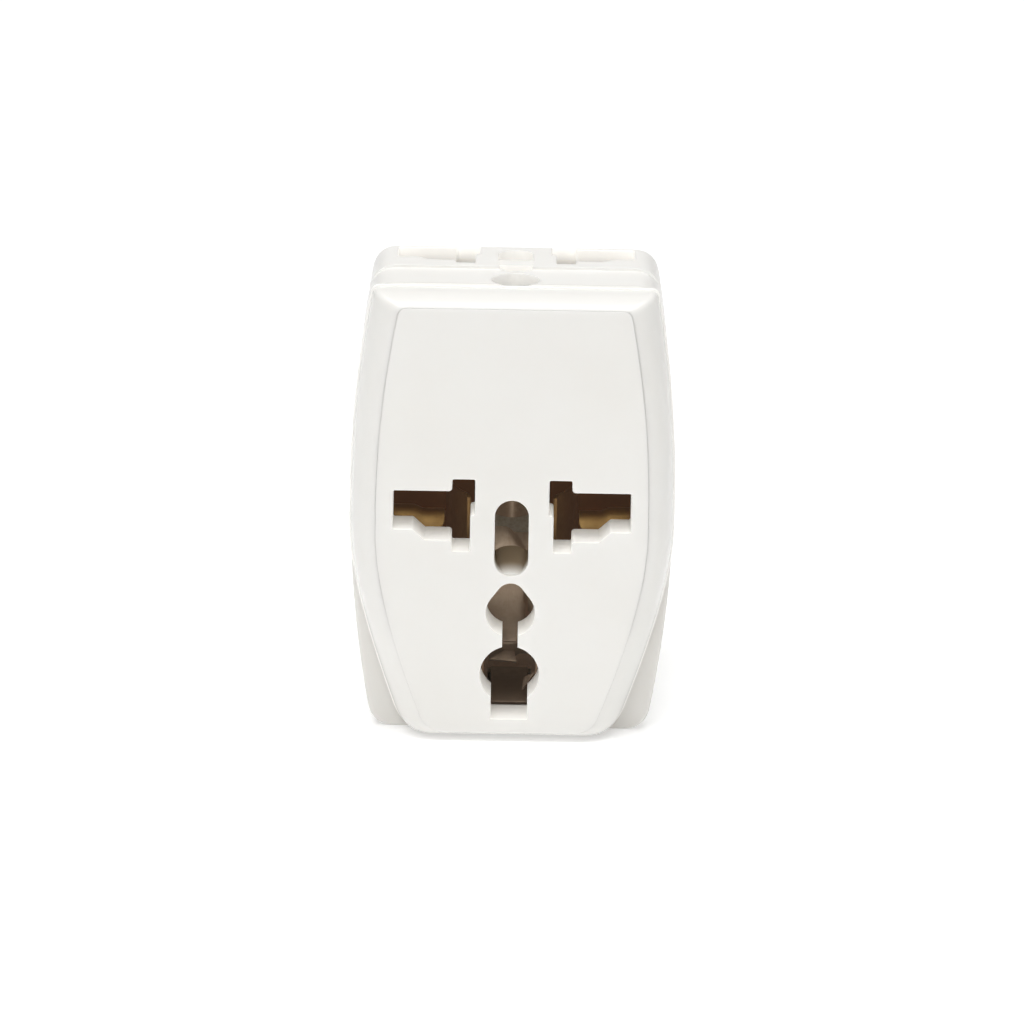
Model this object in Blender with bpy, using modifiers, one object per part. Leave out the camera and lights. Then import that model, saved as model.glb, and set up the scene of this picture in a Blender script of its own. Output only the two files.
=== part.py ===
"""Universal travel adapter: a front and a top universal outlet on a round earthed plug.

Metres, +Z up. The front outlet faces -Y, the plug pins point along +Y, X = 0 is the middle
plane, and the origin is the bottom centre of the bounding box. All the mouldings, contacts
and screws are separate solids with a small gap where they touch.
"""
import math

import bmesh
import bpy
from mathutils import Matrix

MM = 0.001
GAP = 0.3 * MM

# Depths along Y, counted from the join between the front shell and the rear body
SHELL_DEPTH = 6.0 * MM
BODY_DEPTH = 21.7 * MM
PLUG_LENGTH = 17.5 * MM
PIN_LENGTH = 19.0 * MM
TOTAL_DEPTH = SHELL_DEPTH + BODY_DEPTH + PLUG_LENGTH + PIN_LENGTH
JOIN_Y = SHELL_DEPTH - TOTAL_DEPTH / 2

# Side profile shared by the front shell and the rear body: a barrel, widest at WAIST_Z
WAIST_Z = 30.5 * MM
BARREL_RADIUS = 152.0 * MM
SHELL_HALF_WIDTH = 20.5 * MM
BODY_HALF_WIDTH = 20.65 * MM

# Heights
SHELL_TOP = 58.4 * MM
FRONT_ZONE_TOP = 58.65 * MM
REAR_ZONE_TOP = 59.0 * MM
LIP = 0.25 * MM
LIP_DEPTH = 0.55 * MM

# The raised rear zone of the top starts at this ramp
RAMP_START = 8.7 * MM
RAMP_END = 8.8 * MM
REAR_ROUND = 2.8 * MM
REAR_ROUND_BOTTOM = 1.2 * MM

# Walls, and how far cutting tools run on past them
WALL = 1.7 * MM
REAR_WALL = 1.4 * MM
GUIDE_WALL = 0.8 * MM
GUIDE_DEPTH = 6.3 * MM
CLEAR = 1.0 * MM

# Insets from the shell outline (side, top, bottom) of its hollow, its skirt and the mouth
# of the rear body that the skirt slides into
CAVITY = (3.0 * MM, 3.2 * MM, 2.1 * MM)
SKIRT = (2.3 * MM, 2.4 * MM, 2.2 * MM)
MOUTH = (2.0 * MM, 2.1 * MM, 1.9 * MM)
SKIRT_REACH = 2.0 * MM
CAVITY_DEPTH = 2.6 * MM
LEDGE = 0.5 * MM
LEDGE_BACK = 2.0 * MM

# Face plate inside the border of the front shell
BORDER_SIDE = 3.45 * MM
BORDER_TOP = 1.75 * MM
BORDER_BOTTOM = 1.5 * MM
PLATE_THICKNESS = 2.4 * MM

# Universal outlet, measured from the line through the centres of the two live slots
FRONT_LINE_Z = 30.0 * MM
TOP_LINE_Y = 15.4 * MM
BLADE_INNER = 4.62 * MM
BLADE_INNER_LOW = 5.2 * MM
BLADE_OUTER = 7.7 * MM
BLADE_HALF = 4.82 * MM
FLAT_OUTER = 15.2 * MM
FLAT_UP = 3.25 * MM
FLAT_DOWN = 3.35 * MM
FLAT_DOWN_OUTER = 2.0 * MM
SLANT_INNER = 11.1 * MM
SLANT_OUTER = 12.6 * MM
OBROUND_RADIUS = 2.24 * MM
OBROUND_UP = 2.13 * MM
OBROUND_DOWN = 8.0 * MM
EARTH_SMALL = (-10.7 * MM, 1.92 * MM)
EARTH_BIG = (-12.8 * MM, 3.2 * MM)
TOP_EARTH_BIG = (-12.35 * MM, 3.13 * MM)
EARTH_LOW = (-21.0 * MM, 3.86 * MM)
NECK_HALF = 1.07 * MM
SLOT_HALF = 2.42 * MM
SLOT_DOWN = 27.0 * MM

# Round plug
PLUG_Z = 30.0 * MM
PLUG_RADIUS = 18.25 * MM
PLUG_WALL = 1.7 * MM
PLUG_FACE = 2.5 * MM
PIN_SPACING = 19.0 * MM
PIN_RADIUS = 2.4 * MM
PIN_SHANK_RADIUS = 1.5 * MM
EARTH_HOLE_OFFSET = 10.0 * MM
EARTH_HOLE_RADIUS = 2.9 * MM
CLIP_HALF = 2.0 * MM
KEY_HALF = 2.2 * MM

# Screws and the holes they pass through
CASE_SCREW = (11.2 * MM, 8.3 * MM)
PLUG_SCREW = (9.8 * MM, 9.3 * MM)
SCREW_RADIUS = 1.25 * MM
SHANK_HOLE = SCREW_RADIUS + GAP
HEAD_RADIUS = 2.5 * MM
HEAD_DEPTH = 3.2 * MM

# Pressed contacts. Depths are counted inwards from the face of their outlet
SHEET = 0.6 * MM
HALF_SHEET = SHEET / 2
CONTACT_MOUTH = GUIDE_DEPTH + 0.5 * MM
FRONT_CONTACT_BACK = SHELL_DEPTH + 12.4 * MM
TOP_CONTACT_BACK = 16.2 * MM
JAW_OPEN = 3.45 * MM
JAW_PINCH = 2.65 * MM
JAW_INNER = 8.7 * MM
WEB_INNER = 7.6 * MM
WEB_OUTER = 15.4 * MM
WEB_HALF = 3.85 * MM
BLADE_LOW = -4.5 * MM
TAIL_OUTER = 11.4 * MM
EARTH_HALF = 3.0 * MM
EARTH_TAIL_HALF = 2.0 * MM

# Carrier plates, and the strips behind them that link the contacts to the plug
FRONT_CARRIER = (13.4 * MM, 15.4 * MM)
TOP_CARRIER = (39.8 * MM, 41.8 * MM)
TAIL_END = 18.4 * MM
BAR_FRONT = 18.7 * MM
BAR_THICKNESS = 0.8 * MM
BAR_TOP = 40.3 * MM

SEGMENTS = 24
SMALL_SEGMENTS = 16

part_objects = bpy.data.collections.new("travel_adapter")
cutter_objects = bpy.data.collections.new("cutters")


# ---------------------------------------------------------------- scene and materials
def clear_scene():
    for obj in list(bpy.data.objects):
        bpy.data.objects.remove(obj, do_unlink=True)
    for collection in (part_objects, cutter_objects):
        bpy.context.scene.collection.children.link(collection)


def make_material(name, colour, roughness, metallic=0.0):
    material = bpy.data.materials.new(name)
    material.use_nodes = True
    shader = material.node_tree.nodes["Principled BSDF"]
    shader.inputs["Base Color"].default_value = (*colour, 1.0)
    shader.inputs["Roughness"].default_value = roughness
    shader.inputs["Metallic"].default_value = metallic
    return material


def file_under(obj, collection):
    for owner in list(obj.users_collection):
        owner.objects.unlink(obj)
    collection.objects.link(obj)


def finish(obj, material, sharp=math.radians(35)):
    """Put a finished sub-part into the part's collection with its own material."""
    file_under(obj, part_objects)
    obj.data.materials.clear()
    obj.data.materials.append(make_material(obj.name, *material))
    obj.data.shade_smooth()
    obj.data.set_sharp_from_angle(angle=sharp)
    return obj


def combine(target, tool, operation):
    modifier = target.modifiers.new(operation.lower() + "_" + tool.name, "BOOLEAN")
    modifier.operation = operation
    modifier.solver = "EXACT"
    modifier.object = tool
    file_under(tool, cutter_objects)
    tool.hide_render = True
    tool.display_type = "WIRE"


def cut(target, *tools):
    for tool in tools:
        combine(target, tool, "DIFFERENCE")


def join(target, *tools):
    for tool in tools:
        combine(target, tool, "UNION")


# ---------------------------------------------------------------- solids
def link_mesh(name, mesh):
    obj = bpy.data.objects.new(name, mesh)
    bpy.context.scene.collection.objects.link(obj)
    return obj


def face_outwards(mesh):
    shape = bmesh.new()
    shape.from_mesh(mesh)
    bmesh.ops.remove_doubles(shape, verts=shape.verts, dist=0.001 * MM)
    bmesh.ops.recalc_face_normals(shape, faces=shape.faces)
    shape.to_mesh(mesh)
    shape.free()


def box(name, x, y, z):
    """A box from three (low, high) ranges; y counts from the join."""
    centre = ((x[0] + x[1]) / 2, JOIN_Y + (y[0] + y[1]) / 2, (z[0] + z[1]) / 2)
    bpy.ops.mesh.primitive_cube_add(size=1, location=centre)
    obj = bpy.context.object
    obj.name = name
    obj.scale = (x[1] - x[0], y[1] - y[0], z[1] - z[0])
    bpy.ops.object.transform_apply(location=False, rotation=False, scale=True)
    return obj


def rod(name, radius, x, y, z, segments=SEGMENTS):
    """A cylinder along Y between the two values of y."""
    bpy.ops.mesh.primitive_cylinder_add(
        vertices=segments, radius=radius, depth=y[1] - y[0],
        location=(x, JOIN_Y + (y[0] + y[1]) / 2, z), rotation=(math.pi / 2, 0, 0))
    obj = bpy.context.object
    obj.name = name
    return obj


PRISM_AXES = {
    "X": Matrix(((0, 0, 1, 0), (1, 0, 0, 0), (0, 1, 0, 0), (0, 0, 0, 1))),
    "Y": Matrix(((1, 0, 0, 0), (0, 0, 1, 0), (0, 1, 0, 0), (0, 0, 0, 1))),
    "Z": Matrix.Identity(4),
}


def prism(name, outline, axis, low, high):
    """Extrude a flat outline along an axis. Outlines are (y, z), (x, z) or (x, y)."""
    if axis == "Y":
        middle = Matrix.Translation((0, JOIN_Y + (low + high) / 2, 0))
    elif axis == "X":
        middle = Matrix.Translation(((low + high) / 2, JOIN_Y, 0))
    else:
        middle = Matrix.Translation((0, JOIN_Y, (low + high) / 2))
    curve = bpy.data.curves.new(name, "CURVE")
    curve.dimensions = "2D"
    curve.fill_mode = "BOTH"
    curve.extrude = (high - low) / 2
    spline = curve.splines.new("POLY")
    spline.points.add(len(outline) - 1)
    for point, (u, v) in zip(spline.points, outline):
        point.co = (u, v, 0, 1)
    spline.use_cyclic_u = True
    drawn = link_mesh(name + "_outline", curve)
    bpy.context.view_layer.update()
    graph = bpy.context.evaluated_depsgraph_get()
    mesh = bpy.data.meshes.new_from_object(drawn.evaluated_get(graph))
    bpy.data.objects.remove(drawn, do_unlink=True)
    mesh.transform(middle @ PRISM_AXES[axis])
    face_outwards(mesh)
    return link_mesh(name, mesh)


def loft(name, sections):
    """Skin a row of (y, outline) sections that all have the same number of points."""
    mesh = bpy.data.meshes.new(name)
    shape = bmesh.new()
    rings = []
    for y, outline in sections:
        rings.append([shape.verts.new((x, JOIN_Y + y, z)) for x, z in outline])
    for ring, following in zip(rings, rings[1:]):
        for i in range(len(ring)):
            j = (i + 1) % len(ring)
            shape.faces.new((ring[i], ring[j], following[j], following[i]))
    shape.faces.new(rings[0])
    shape.faces.new(rings[-1])
    bmesh.ops.recalc_face_normals(shape, faces=shape.faces)
    shape.to_mesh(mesh)
    shape.free()
    return link_mesh(name, mesh)


def turned(name, profile, x, z, segments=SEGMENTS):
    """Turn a (radius, y) profile, rearmost point first, about an axis along Y."""
    mesh = bpy.data.meshes.new(name)
    points = [(radius, 0, y) for radius, y in profile]
    mesh.from_pydata(points, [(i, i + 1) for i in range(len(points) - 1)], [])
    obj = link_mesh(name, mesh)
    obj.location = (x, JOIN_Y, z)
    obj.rotation_euler = (-math.pi / 2, 0, 0)
    screw = obj.modifiers.new("turn", "SCREW")
    screw.axis = "Z"
    screw.steps = segments
    screw.render_steps = segments
    screw.use_merge_vertices = True
    screw.merge_threshold = 0.001 * MM
    return obj


# ---------------------------------------------------------------- outlines
def bezier(points, steps):
    """Points on a Bezier curve through its first and last control points."""
    result = []
    for i in range(steps + 1):
        t = i / steps
        level = list(points)
        while len(level) > 1:
            level = [(a[0] + (b[0] - a[0]) * t, a[1] + (b[1] - a[1]) * t)
                     for a, b in zip(level, level[1:])]
        result.append(level[0])
    return result


def arc(centre, radius, start, end, steps):
    """Points on an arc between two angles in degrees."""
    points = []
    for i in range(steps + 1):
        angle = math.radians(start + (end - start) * i / steps)
        points.append((centre[0] + radius * math.cos(angle), centre[1] + radius * math.sin(angle)))
    return points


def both_sides(right):
    """Close a right-hand half outline, lowest point first, with its mirror image."""
    return right + [(-x, z) for x, z in reversed(right) if x > 0.001 * MM]


def barrel(z, half_width, bend=1.0):
    return half_width - bend * (z - WAIST_Z) ** 2 / (2 * BARREL_RADIUS)


def barrel_side(half_width, low, high, steps, bend=1.0):
    heights = [low + (high - low) * i / steps for i in range(steps + 1)]
    return [(barrel(z, half_width, bend), z) for z in heights]


def corner(half_width, z, z_tangent, reach, steps=4, bend=1.0):
    """A rounded corner between the barrel side at z_tangent and a flat edge at z."""
    edge = barrel(z, half_width, bend)
    points = [(barrel(z_tangent, half_width, bend), z_tangent), (edge, z), (edge - reach, z)]
    return bezier(points, steps)


def body_outline(inset=0.0, top=REAR_ZONE_TOP, bottom=0.0):
    """Barrel outline of the rear body with rounded corners."""
    half_width = BODY_HALF_WIDTH - inset
    reach = max(2.9 * MM - inset, 0.8 * MM)
    low = corner(half_width, bottom, bottom + reach, reach)
    side = barrel_side(half_width, bottom + reach, top - reach, 8)
    high = corner(half_width, top, top - reach, reach)
    return both_sides(low[::-1] + side[1:-1] + high)


def shell_outline(side=0.0, top=0.0, bottom=0.0, reach=1.0 * MM):
    """Shield outline of the front shell: a barrel above, curving in to a narrow foot."""
    half_width = SHELL_HALF_WIDTH - side
    high_z = SHELL_TOP - top
    bend = 1 + side / (18 * MM)
    cheek = (14.6 * MM - 0.95 * side, 3.2 * MM + 0.6 * bottom)
    foot = bezier([(10.8 * MM - 0.9 * side, bottom), (13.3 * MM - 0.8 * side, bottom), cheek], 5)
    flank = bezier([cheek, (17.2 * MM - 0.95 * side, 10.5 * MM),
                    (half_width + 0.2 * MM, 20.5 * MM), (half_width, 28.0 * MM)], 8)
    upper = barrel_side(half_width, 28.0 * MM, high_z - reach, 6, bend)
    high = corner(half_width, high_z, high_z - reach, reach, 3, bend)
    return both_sides(foot + flank[1:] + upper[1:-1] + high)


def live_slot(line, grow=0.0):
    """Right-hand live slot: an upright blade slot with a stepped flat slot beside it."""
    return [
        (BLADE_INNER - grow, line + BLADE_HALF + grow),
        (BLADE_INNER - grow, line - grow),
        (BLADE_INNER_LOW - grow, line - grow),
        (BLADE_INNER_LOW - grow, line - BLADE_HALF - grow),
        (BLADE_OUTER + grow, line - BLADE_HALF - grow),
        (BLADE_OUTER + grow, line - FLAT_DOWN - grow),
        (SLANT_INNER + grow / 2, line - FLAT_DOWN - grow),
        (SLANT_OUTER + grow / 2, line - FLAT_DOWN_OUTER - grow),
        (FLAT_OUTER + grow, line - FLAT_DOWN_OUTER - grow),
        (FLAT_OUTER + grow, line + FLAT_UP + grow),
        (BLADE_OUTER + grow, line + FLAT_UP + grow),
        (BLADE_OUTER + grow, line + BLADE_HALF + grow),
    ]


def mirrored(outline):
    return [(-x, v) for x, v in outline]


def obround(line, grow=0.0):
    radius = OBROUND_RADIUS + grow
    high = line + OBROUND_UP - OBROUND_RADIUS
    low = line - OBROUND_DOWN + OBROUND_RADIUS
    return arc((0, high), radius, 0, 180, 8) + arc((0, low), radius, 180, 360, 8)


def earth_bulb(line, grow, low_angle, low_round=EARTH_BIG):
    """Right half of the upper earth hole, bottom first: a big round under a small one."""
    small = (0, line + EARTH_SMALL[0])
    big = (0, line + low_round[0])
    lean = math.degrees(math.asin((low_round[1] - EARTH_SMALL[1]) / (small[1] - big[1])))
    return (arc(big, low_round[1] + grow, low_angle, lean, 7)
            + arc(small, EARTH_SMALL[1] + grow, lean, 90, 3))


def keyhole(line, grow=0.0):
    """Full earth opening: upper hole, neck, lower round and the straight slot below it."""
    neck = NECK_HALF + grow
    slot = SLOT_HALF + grow
    radius = EARTH_LOW[1] + grow
    low = (0, line + EARTH_LOW[0])
    neck_angle = math.degrees(math.asin(neck / (EARTH_BIG[1] + grow))) - 90
    top_angle = 90 - math.degrees(math.asin(neck / radius))
    foot_angle = math.degrees(math.asin(slot / radius)) - 90
    right = [(slot, line - SLOT_DOWN - grow)]
    right += arc(low, radius, foot_angle, top_angle, 8)
    right += earth_bulb(line, grow, neck_angle)
    return both_sides(right)


def strip(path, thickness):
    """Outline of a bent strip of even thickness along an open path."""
    left = []
    right = []
    for i, (u, v) in enumerate(path):
        before = path[max(i - 1, 0)]
        after = path[min(i + 1, len(path) - 1)]
        du, dv = after[0] - before[0], after[1] - before[1]
        length = math.hypot(du, dv)
        nu, nv = -dv / length * thickness / 2, du / length * thickness / 2
        left.append((u + nu, v + nv))
        right.append((u - nu, v - nv))
    return left + right[::-1]


# ---------------------------------------------------------------- finishes
WHITE = ((0.83, 0.82, 0.79), 0.32)
IVORY = ((0.66, 0.64, 0.58), 0.55)
GOLD_BRASS = ((0.72, 0.47, 0.17), 0.28, 1.0)
NICKEL = ((0.62, 0.58, 0.52), 0.26, 1.0)
BRIGHT_NICKEL = ((0.78, 0.77, 0.74), 0.2, 1.0)
ZINC = ((0.66, 0.67, 0.68), 0.35, 1.0)


# ---------------------------------------------------------------- mouldings
def front_shell():
    """Shield-shaped frame: a proud lip at the join, then a border rolling over to the plate."""
    sections = [(0.0, shell_outline(-LIP, -LIP)), (-LIP_DEPTH, shell_outline(-LIP, -LIP))]
    roll_end = math.radians(70)
    roll_start = -LIP_DEPTH - 0.05 * MM
    roll_steps = 5
    for i in range(roll_steps + 1):
        angle = roll_end * i / roll_steps
        inset = (1 - math.cos(angle)) / (1 - math.cos(roll_end))
        y = roll_start - (SHELL_DEPTH + roll_start) * math.sin(angle) / math.sin(roll_end)
        sections.append((y, shell_outline(BORDER_SIDE * inset, BORDER_TOP * inset,
                                          BORDER_BOTTOM * inset)))
    shell = loft("front_shell", sections)
    join(shell, prism("shell_skirt", shell_outline(*SKIRT), "Y", -CLEAR, SKIRT_REACH))
    notch_half = 3.8 * MM
    cut(shell,
        prism("shell_cavity", shell_outline(*CAVITY), "Y", -CAVITY_DEPTH, SKIRT_REACH + CLEAR),
        prism("shell_window", plate_outline(-LEDGE), "Y", -SHELL_DEPTH + PLATE_THICKNESS - CLEAR,
              -LEDGE_BACK),
        prism("shell_seat", plate_outline(GAP), "Y", -SHELL_DEPTH - CLEAR,
              -SHELL_DEPTH + PLATE_THICKNESS + GAP),
        box("shell_notch", (-notch_half, notch_half), (GAP, SKIRT_REACH + CLEAR),
            (SHELL_TOP - 4.5 * MM, SHELL_TOP - 1.9 * MM)))
    boss_radius = 2.2 * MM
    boss_ends = (-3.5 * MM, 1.8 * MM)
    pilot_ends = (-2.5 * MM, 2.5 * MM)
    for side in (-1, 1):
        x, z = side * CASE_SCREW[0], CASE_SCREW[1]
        join(shell, rod("shell_boss", boss_radius, x, boss_ends, z, SMALL_SEGMENTS))
        cut(shell, rod("shell_pilot", SHANK_HOLE, x, pilot_ends, z, SMALL_SEGMENTS))
    return finish(shell, WHITE)


def plate_outline(grow=0.0):
    return shell_outline(BORDER_SIDE - grow, BORDER_TOP - grow, BORDER_BOTTOM - grow)


def front_face_plate():
    """Flat plate of the front outlet with guide walls behind its openings."""
    back = -SHELL_DEPTH + GUIDE_DEPTH
    inner = -SHELL_DEPTH + PLATE_THICKNESS
    plate = prism("front_face_plate", plate_outline(), "Y", -SHELL_DEPTH, inner)
    line = FRONT_LINE_Z
    walls = (mirrored(live_slot(line, GUIDE_WALL)), live_slot(line, GUIDE_WALL),
             obround(line, GUIDE_WALL), keyhole(line, GUIDE_WALL))
    for outline in walls:
        join(plate, prism("plate_guide", outline, "Y", inner - CLEAR / 2, back))
    holes = (mirrored(live_slot(line)), live_slot(line), obround(line), keyhole(line))
    for outline in holes:
        cut(plate, prism("plate_hole", outline, "Y", -SHELL_DEPTH - CLEAR, back + CLEAR))
    return finish(plate, WHITE)


def rear_body():
    """Barrel-shaped housing with the top outlet, open to the front shell and to the plug."""
    sections = [(y, body_outline(0.0, top)) for y, top in (
        (GAP, FRONT_ZONE_TOP), (RAMP_START, FRONT_ZONE_TOP), (RAMP_END, REAR_ZONE_TOP))]
    round_steps = 4
    for i in range(round_steps + 1):
        angle = math.pi / 2 * i / round_steps
        inset = REAR_ROUND * (1 - math.cos(angle))
        y = BODY_DEPTH - REAR_ROUND * (1 - math.sin(angle))
        into = max(0.0, y - (BODY_DEPTH - REAR_ROUND_BOTTOM))
        lift = REAR_ROUND_BOTTOM - math.sqrt(REAR_ROUND_BOTTOM ** 2 - into ** 2)
        sections.append((y, body_outline(inset, REAR_ZONE_TOP - inset, lift)))
    body = loft("rear_body", sections)
    ceiling = FRONT_ZONE_TOP - WALL
    bevel = 1.2 * MM
    back = BODY_DEPTH - REAR_WALL
    hollow = loft("body_hollow", [
        (2.0 * MM, body_outline(WALL, ceiling, WALL)),
        (back - bevel, body_outline(WALL, ceiling, WALL)),
        (back, body_outline(WALL + bevel, ceiling - bevel, WALL + bevel / 2))])
    cut(body, hollow, prism("body_mouth", shell_outline(*MOUTH), "Y", -CLEAR, 3.0 * MM))

    guide_low = REAR_ZONE_TOP - GUIDE_DEPTH
    guide_high = ceiling + 0.4 * MM
    line = TOP_LINE_Y
    for outline in (mirrored(live_slot(line, GUIDE_WALL)), live_slot(line, GUIDE_WALL),
                    obround(line, GUIDE_WALL)):
        join(body, prism("body_guide", outline, "Z", guide_low, guide_high))
    boss_radius = 2.9 * MM
    boss_ends = (2.3 * MM, BODY_DEPTH - 0.5 * MM)
    for side in (-1, 1):
        join(body, rod("body_boss", boss_radius, side * CASE_SCREW[0], boss_ends, CASE_SCREW[1],
                       SMALL_SEGMENTS))
    bulb = both_sides(earth_bulb(line, 0.0, -70, TOP_EARTH_BIG))
    for outline in (mirrored(live_slot(line)), live_slot(line), obround(line), bulb):
        cut(body, prism("body_hole", outline, "Z", guide_low - CLEAR, REAR_ZONE_TOP + CLEAR))
    rib_drop = 0.35 * MM
    join(body, box("obround_rib", (-2.6 * MM, 2.6 * MM), (10.6 * MM, 13.6 * MM),
                   (guide_low + 2 * MM, REAR_ZONE_TOP - rib_drop)))

    through = (BODY_DEPTH - 3 * MM, BODY_DEPTH + CLEAR)
    for name, half_width, half_height in (("live_window", 13.0 * MM, 3.5 * MM),
                                          ("earth_window", 2.8 * MM, 15.0 * MM)):
        cut(body, box(name, (-half_width, half_width), through,
                      (PLUG_Z - half_height, PLUG_Z + half_height)))
    for side in (-1, 1):
        x, z = side * CASE_SCREW[0], CASE_SCREW[1]
        cut(body, rod("case_shank_hole", SHANK_HOLE, x, (0, BODY_DEPTH + CLEAR), z, SMALL_SEGMENTS),
            rod("case_head_hole", HEAD_RADIUS + GAP, x,
                (BODY_DEPTH - HEAD_DEPTH, BODY_DEPTH + CLEAR), z))
        x, z = side * PLUG_SCREW[0], PLUG_Z - PLUG_SCREW[1]
        cut(body, rod("plug_shank_hole", SHANK_HOLE, x, through, z, SMALL_SEGMENTS))
    return finish(body, WHITE)


def plug_base():
    """Round hollow plug with a rounded rim, side keyways, clip grooves and pin holes."""
    start = BODY_DEPTH + GAP
    end = BODY_DEPTH + PLUG_LENGTH
    rim = 1.2 * MM
    outside = [(0, end)] + [(PLUG_RADIUS - rim + rim * math.sin(a), end - rim + rim * math.cos(a))
                            for a in (0, math.pi / 8, math.pi / 4, math.pi * 3 / 8, math.pi / 2)]
    outside += [(PLUG_RADIUS, start), (0, start)]
    base = turned("plug_base", outside, 0, PLUG_Z, 48)
    hollow = rod("plug_hollow", PLUG_RADIUS - PLUG_WALL, 0, (start - CLEAR, end - PLUG_FACE),
                 PLUG_Z, 48)
    cut(base, hollow)
    boss_radius = 2.6 * MM
    boss_ends = (start + 0.1 * MM, end - 1 * MM)
    face_cut = (end - PLUG_FACE - CLEAR, end + CLEAR)
    for side in (-1, 1):
        x, z = side * PLUG_SCREW[0], PLUG_Z - PLUG_SCREW[1]
        join(base, rod("plug_boss", boss_radius, x, boss_ends, z, SMALL_SEGMENTS))
        cut(base, rod("plug_pilot", SHANK_HOLE, x, (start - CLEAR, start + 8 * MM), z,
                      SMALL_SEGMENTS))
        edge = PLUG_RADIUS * side
        key_floor = box("key_floor", sorted((edge - side * 4.6 * MM, edge - side * 0.9 * MM)),
                        (start + 2 * MM, end - 1 * MM),
                        (PLUG_Z - KEY_HALF - 1.2 * MM, PLUG_Z + KEY_HALF + 1.2 * MM))
        clip_floor = box("clip_floor", (-2 * CLIP_HALF, 2 * CLIP_HALF), boss_ends,
                         sorted((PLUG_Z + side * 13.7 * MM, PLUG_Z + side * 17.0 * MM)))
        join(base, key_floor, clip_floor)
        keyway = box("keyway", sorted((edge - side * 1.9 * MM, edge + side * CLEAR)),
                     (start + 4 * MM, end + CLEAR), (PLUG_Z - KEY_HALF, PLUG_Z + KEY_HALF))
        groove = box("clip_groove", (-CLIP_HALF - 2 * GAP, CLIP_HALF + 2 * GAP),
                     (start + 1.4 * MM, end + CLEAR),
                     sorted((PLUG_Z + side * 15.6 * MM, PLUG_Z + side * 20.0 * MM)))
        slit = box("clip_slit", (-CLIP_HALF - GAP, CLIP_HALF + GAP),
                   (start + 1.8 * MM, start + 3.2 * MM),
                   sorted((PLUG_Z + side * 12.0 * MM, PLUG_Z + side * 16.5 * MM)))
        pin_hole = rod("pin_hole", PIN_RADIUS + GAP, side * PIN_SPACING / 2, face_cut, PLUG_Z)
        cut(base, keyway, groove, slit, pin_hole)
    cut(base, rod("earth_hole", EARTH_HOLE_RADIUS, 0, face_cut, PLUG_Z + EARTH_HOLE_OFFSET))
    return finish(base, WHITE)


def contact_carriers():
    """Insulating plates that the contacts of each outlet stand on."""
    live_slots = [sorted((side * (WEB_INNER - 1 * MM), side * (TAIL_OUTER + 1 * MM)))
                  for side in (-1, 1)]
    earth_slot = (-EARTH_TAIL_HALF - 0.5 * MM, EARTH_TAIL_HALF + 0.5 * MM)
    through = (FRONT_CARRIER[0] - CLEAR, FRONT_CARRIER[1] + CLEAR)
    bore_radius = 3.3 * MM
    front = prism("front_contact_carrier", shell_outline(3.6 * MM, 23.5 * MM, 3.4 * MM), "Y",
                  *FRONT_CARRIER)
    for side, slot in zip((-1, 1), live_slots):
        cut(front, box("carrier_slot", slot, through, (28.8 * MM, 31.2 * MM)),
            rod("carrier_bore", bore_radius, side * CASE_SCREW[0], through, CASE_SCREW[1]))
    cut(front, box("carrier_earth_slot", earth_slot, through, (16.5 * MM, 19.5 * MM)))
    finish(front, IVORY)

    half_width = 16.4 * MM
    through = (TOP_CARRIER[0] - CLEAR, TOP_CARRIER[1] + CLEAR)
    slot_y = (16.9 * MM, 21.0 * MM)
    top = box("top_contact_carrier", (-half_width, half_width), (2.6 * MM, 19.9 * MM), TOP_CARRIER)
    for slot in live_slots + [earth_slot]:
        cut(top, box("carrier_slot", slot, slot_y, through))
    finish(top, IVORY)


# ---------------------------------------------------------------- live parts
def outlet_place(outlet, v, w):
    """(y, z) of a point v up from an outlet's line and w in from its face."""
    if outlet == "front":
        return w - SHELL_DEPTH, FRONT_LINE_Z + v
    return TOP_LINE_Y + v, REAR_ZONE_TOP - w


def across_outlet(name, outlet, outline, x):
    """Extrude a (v, w) outline across an outlet, over a range of x."""
    return prism(name, [outlet_place(outlet, v, w) for v, w in outline], "X", *x)


def up_outlet(name, outlet, outline, low, high):
    """Extrude an (x, w) outline along an outlet's upright between two v."""
    if outlet == "front":
        points = [(x, w - SHELL_DEPTH) for x, w in outline]
        return prism(name, points, "Z", FRONT_LINE_Z + low, FRONT_LINE_Z + high)
    points = [(x, REAR_ZONE_TOP - w) for x, w in outline]
    return prism(name, points, "Y", TOP_LINE_Y + low, TOP_LINE_Y + high)


def live_contact(name, outlet, side, back):
    """Sprung contact behind a live slot: two flat jaws, an upright blade leaf and a web."""
    low, high = -WEB_HALF, WEB_HALF
    web = across_outlet(name, outlet, [(low, back), (high, back), (high, back + SHEET),
                                       (low, back + SHEET)],
                        sorted((side * WEB_INNER, side * WEB_OUTER)))
    foot = back + HALF_SHEET
    jaw_x = sorted((side * JAW_INNER, side * WEB_OUTER))
    for way in (-1, 1):
        path = [(way * JAW_OPEN, CONTACT_MOUTH), (way * JAW_PINCH, CONTACT_MOUTH + 2.6 * MM),
                (way * JAW_PINCH, CONTACT_MOUTH + 6.0 * MM), (way * JAW_OPEN, foot)]
        join(web, across_outlet("jaw", outlet, strip(path, SHEET), jaw_x))
    leaf = [(side * 7.1 * MM, CONTACT_MOUTH), (side * 6.5 * MM, CONTACT_MOUTH + 0.8 * MM),
            (side * 5.7 * MM, CONTACT_MOUTH + 3.0 * MM),
            (side * 5.7 * MM, CONTACT_MOUTH + 6.5 * MM), (side * 8.2 * MM, foot)]
    join(web, up_outlet("blade_leaf", outlet, strip(leaf, SHEET), BLADE_LOW, WEB_HALF))
    return web


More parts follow.
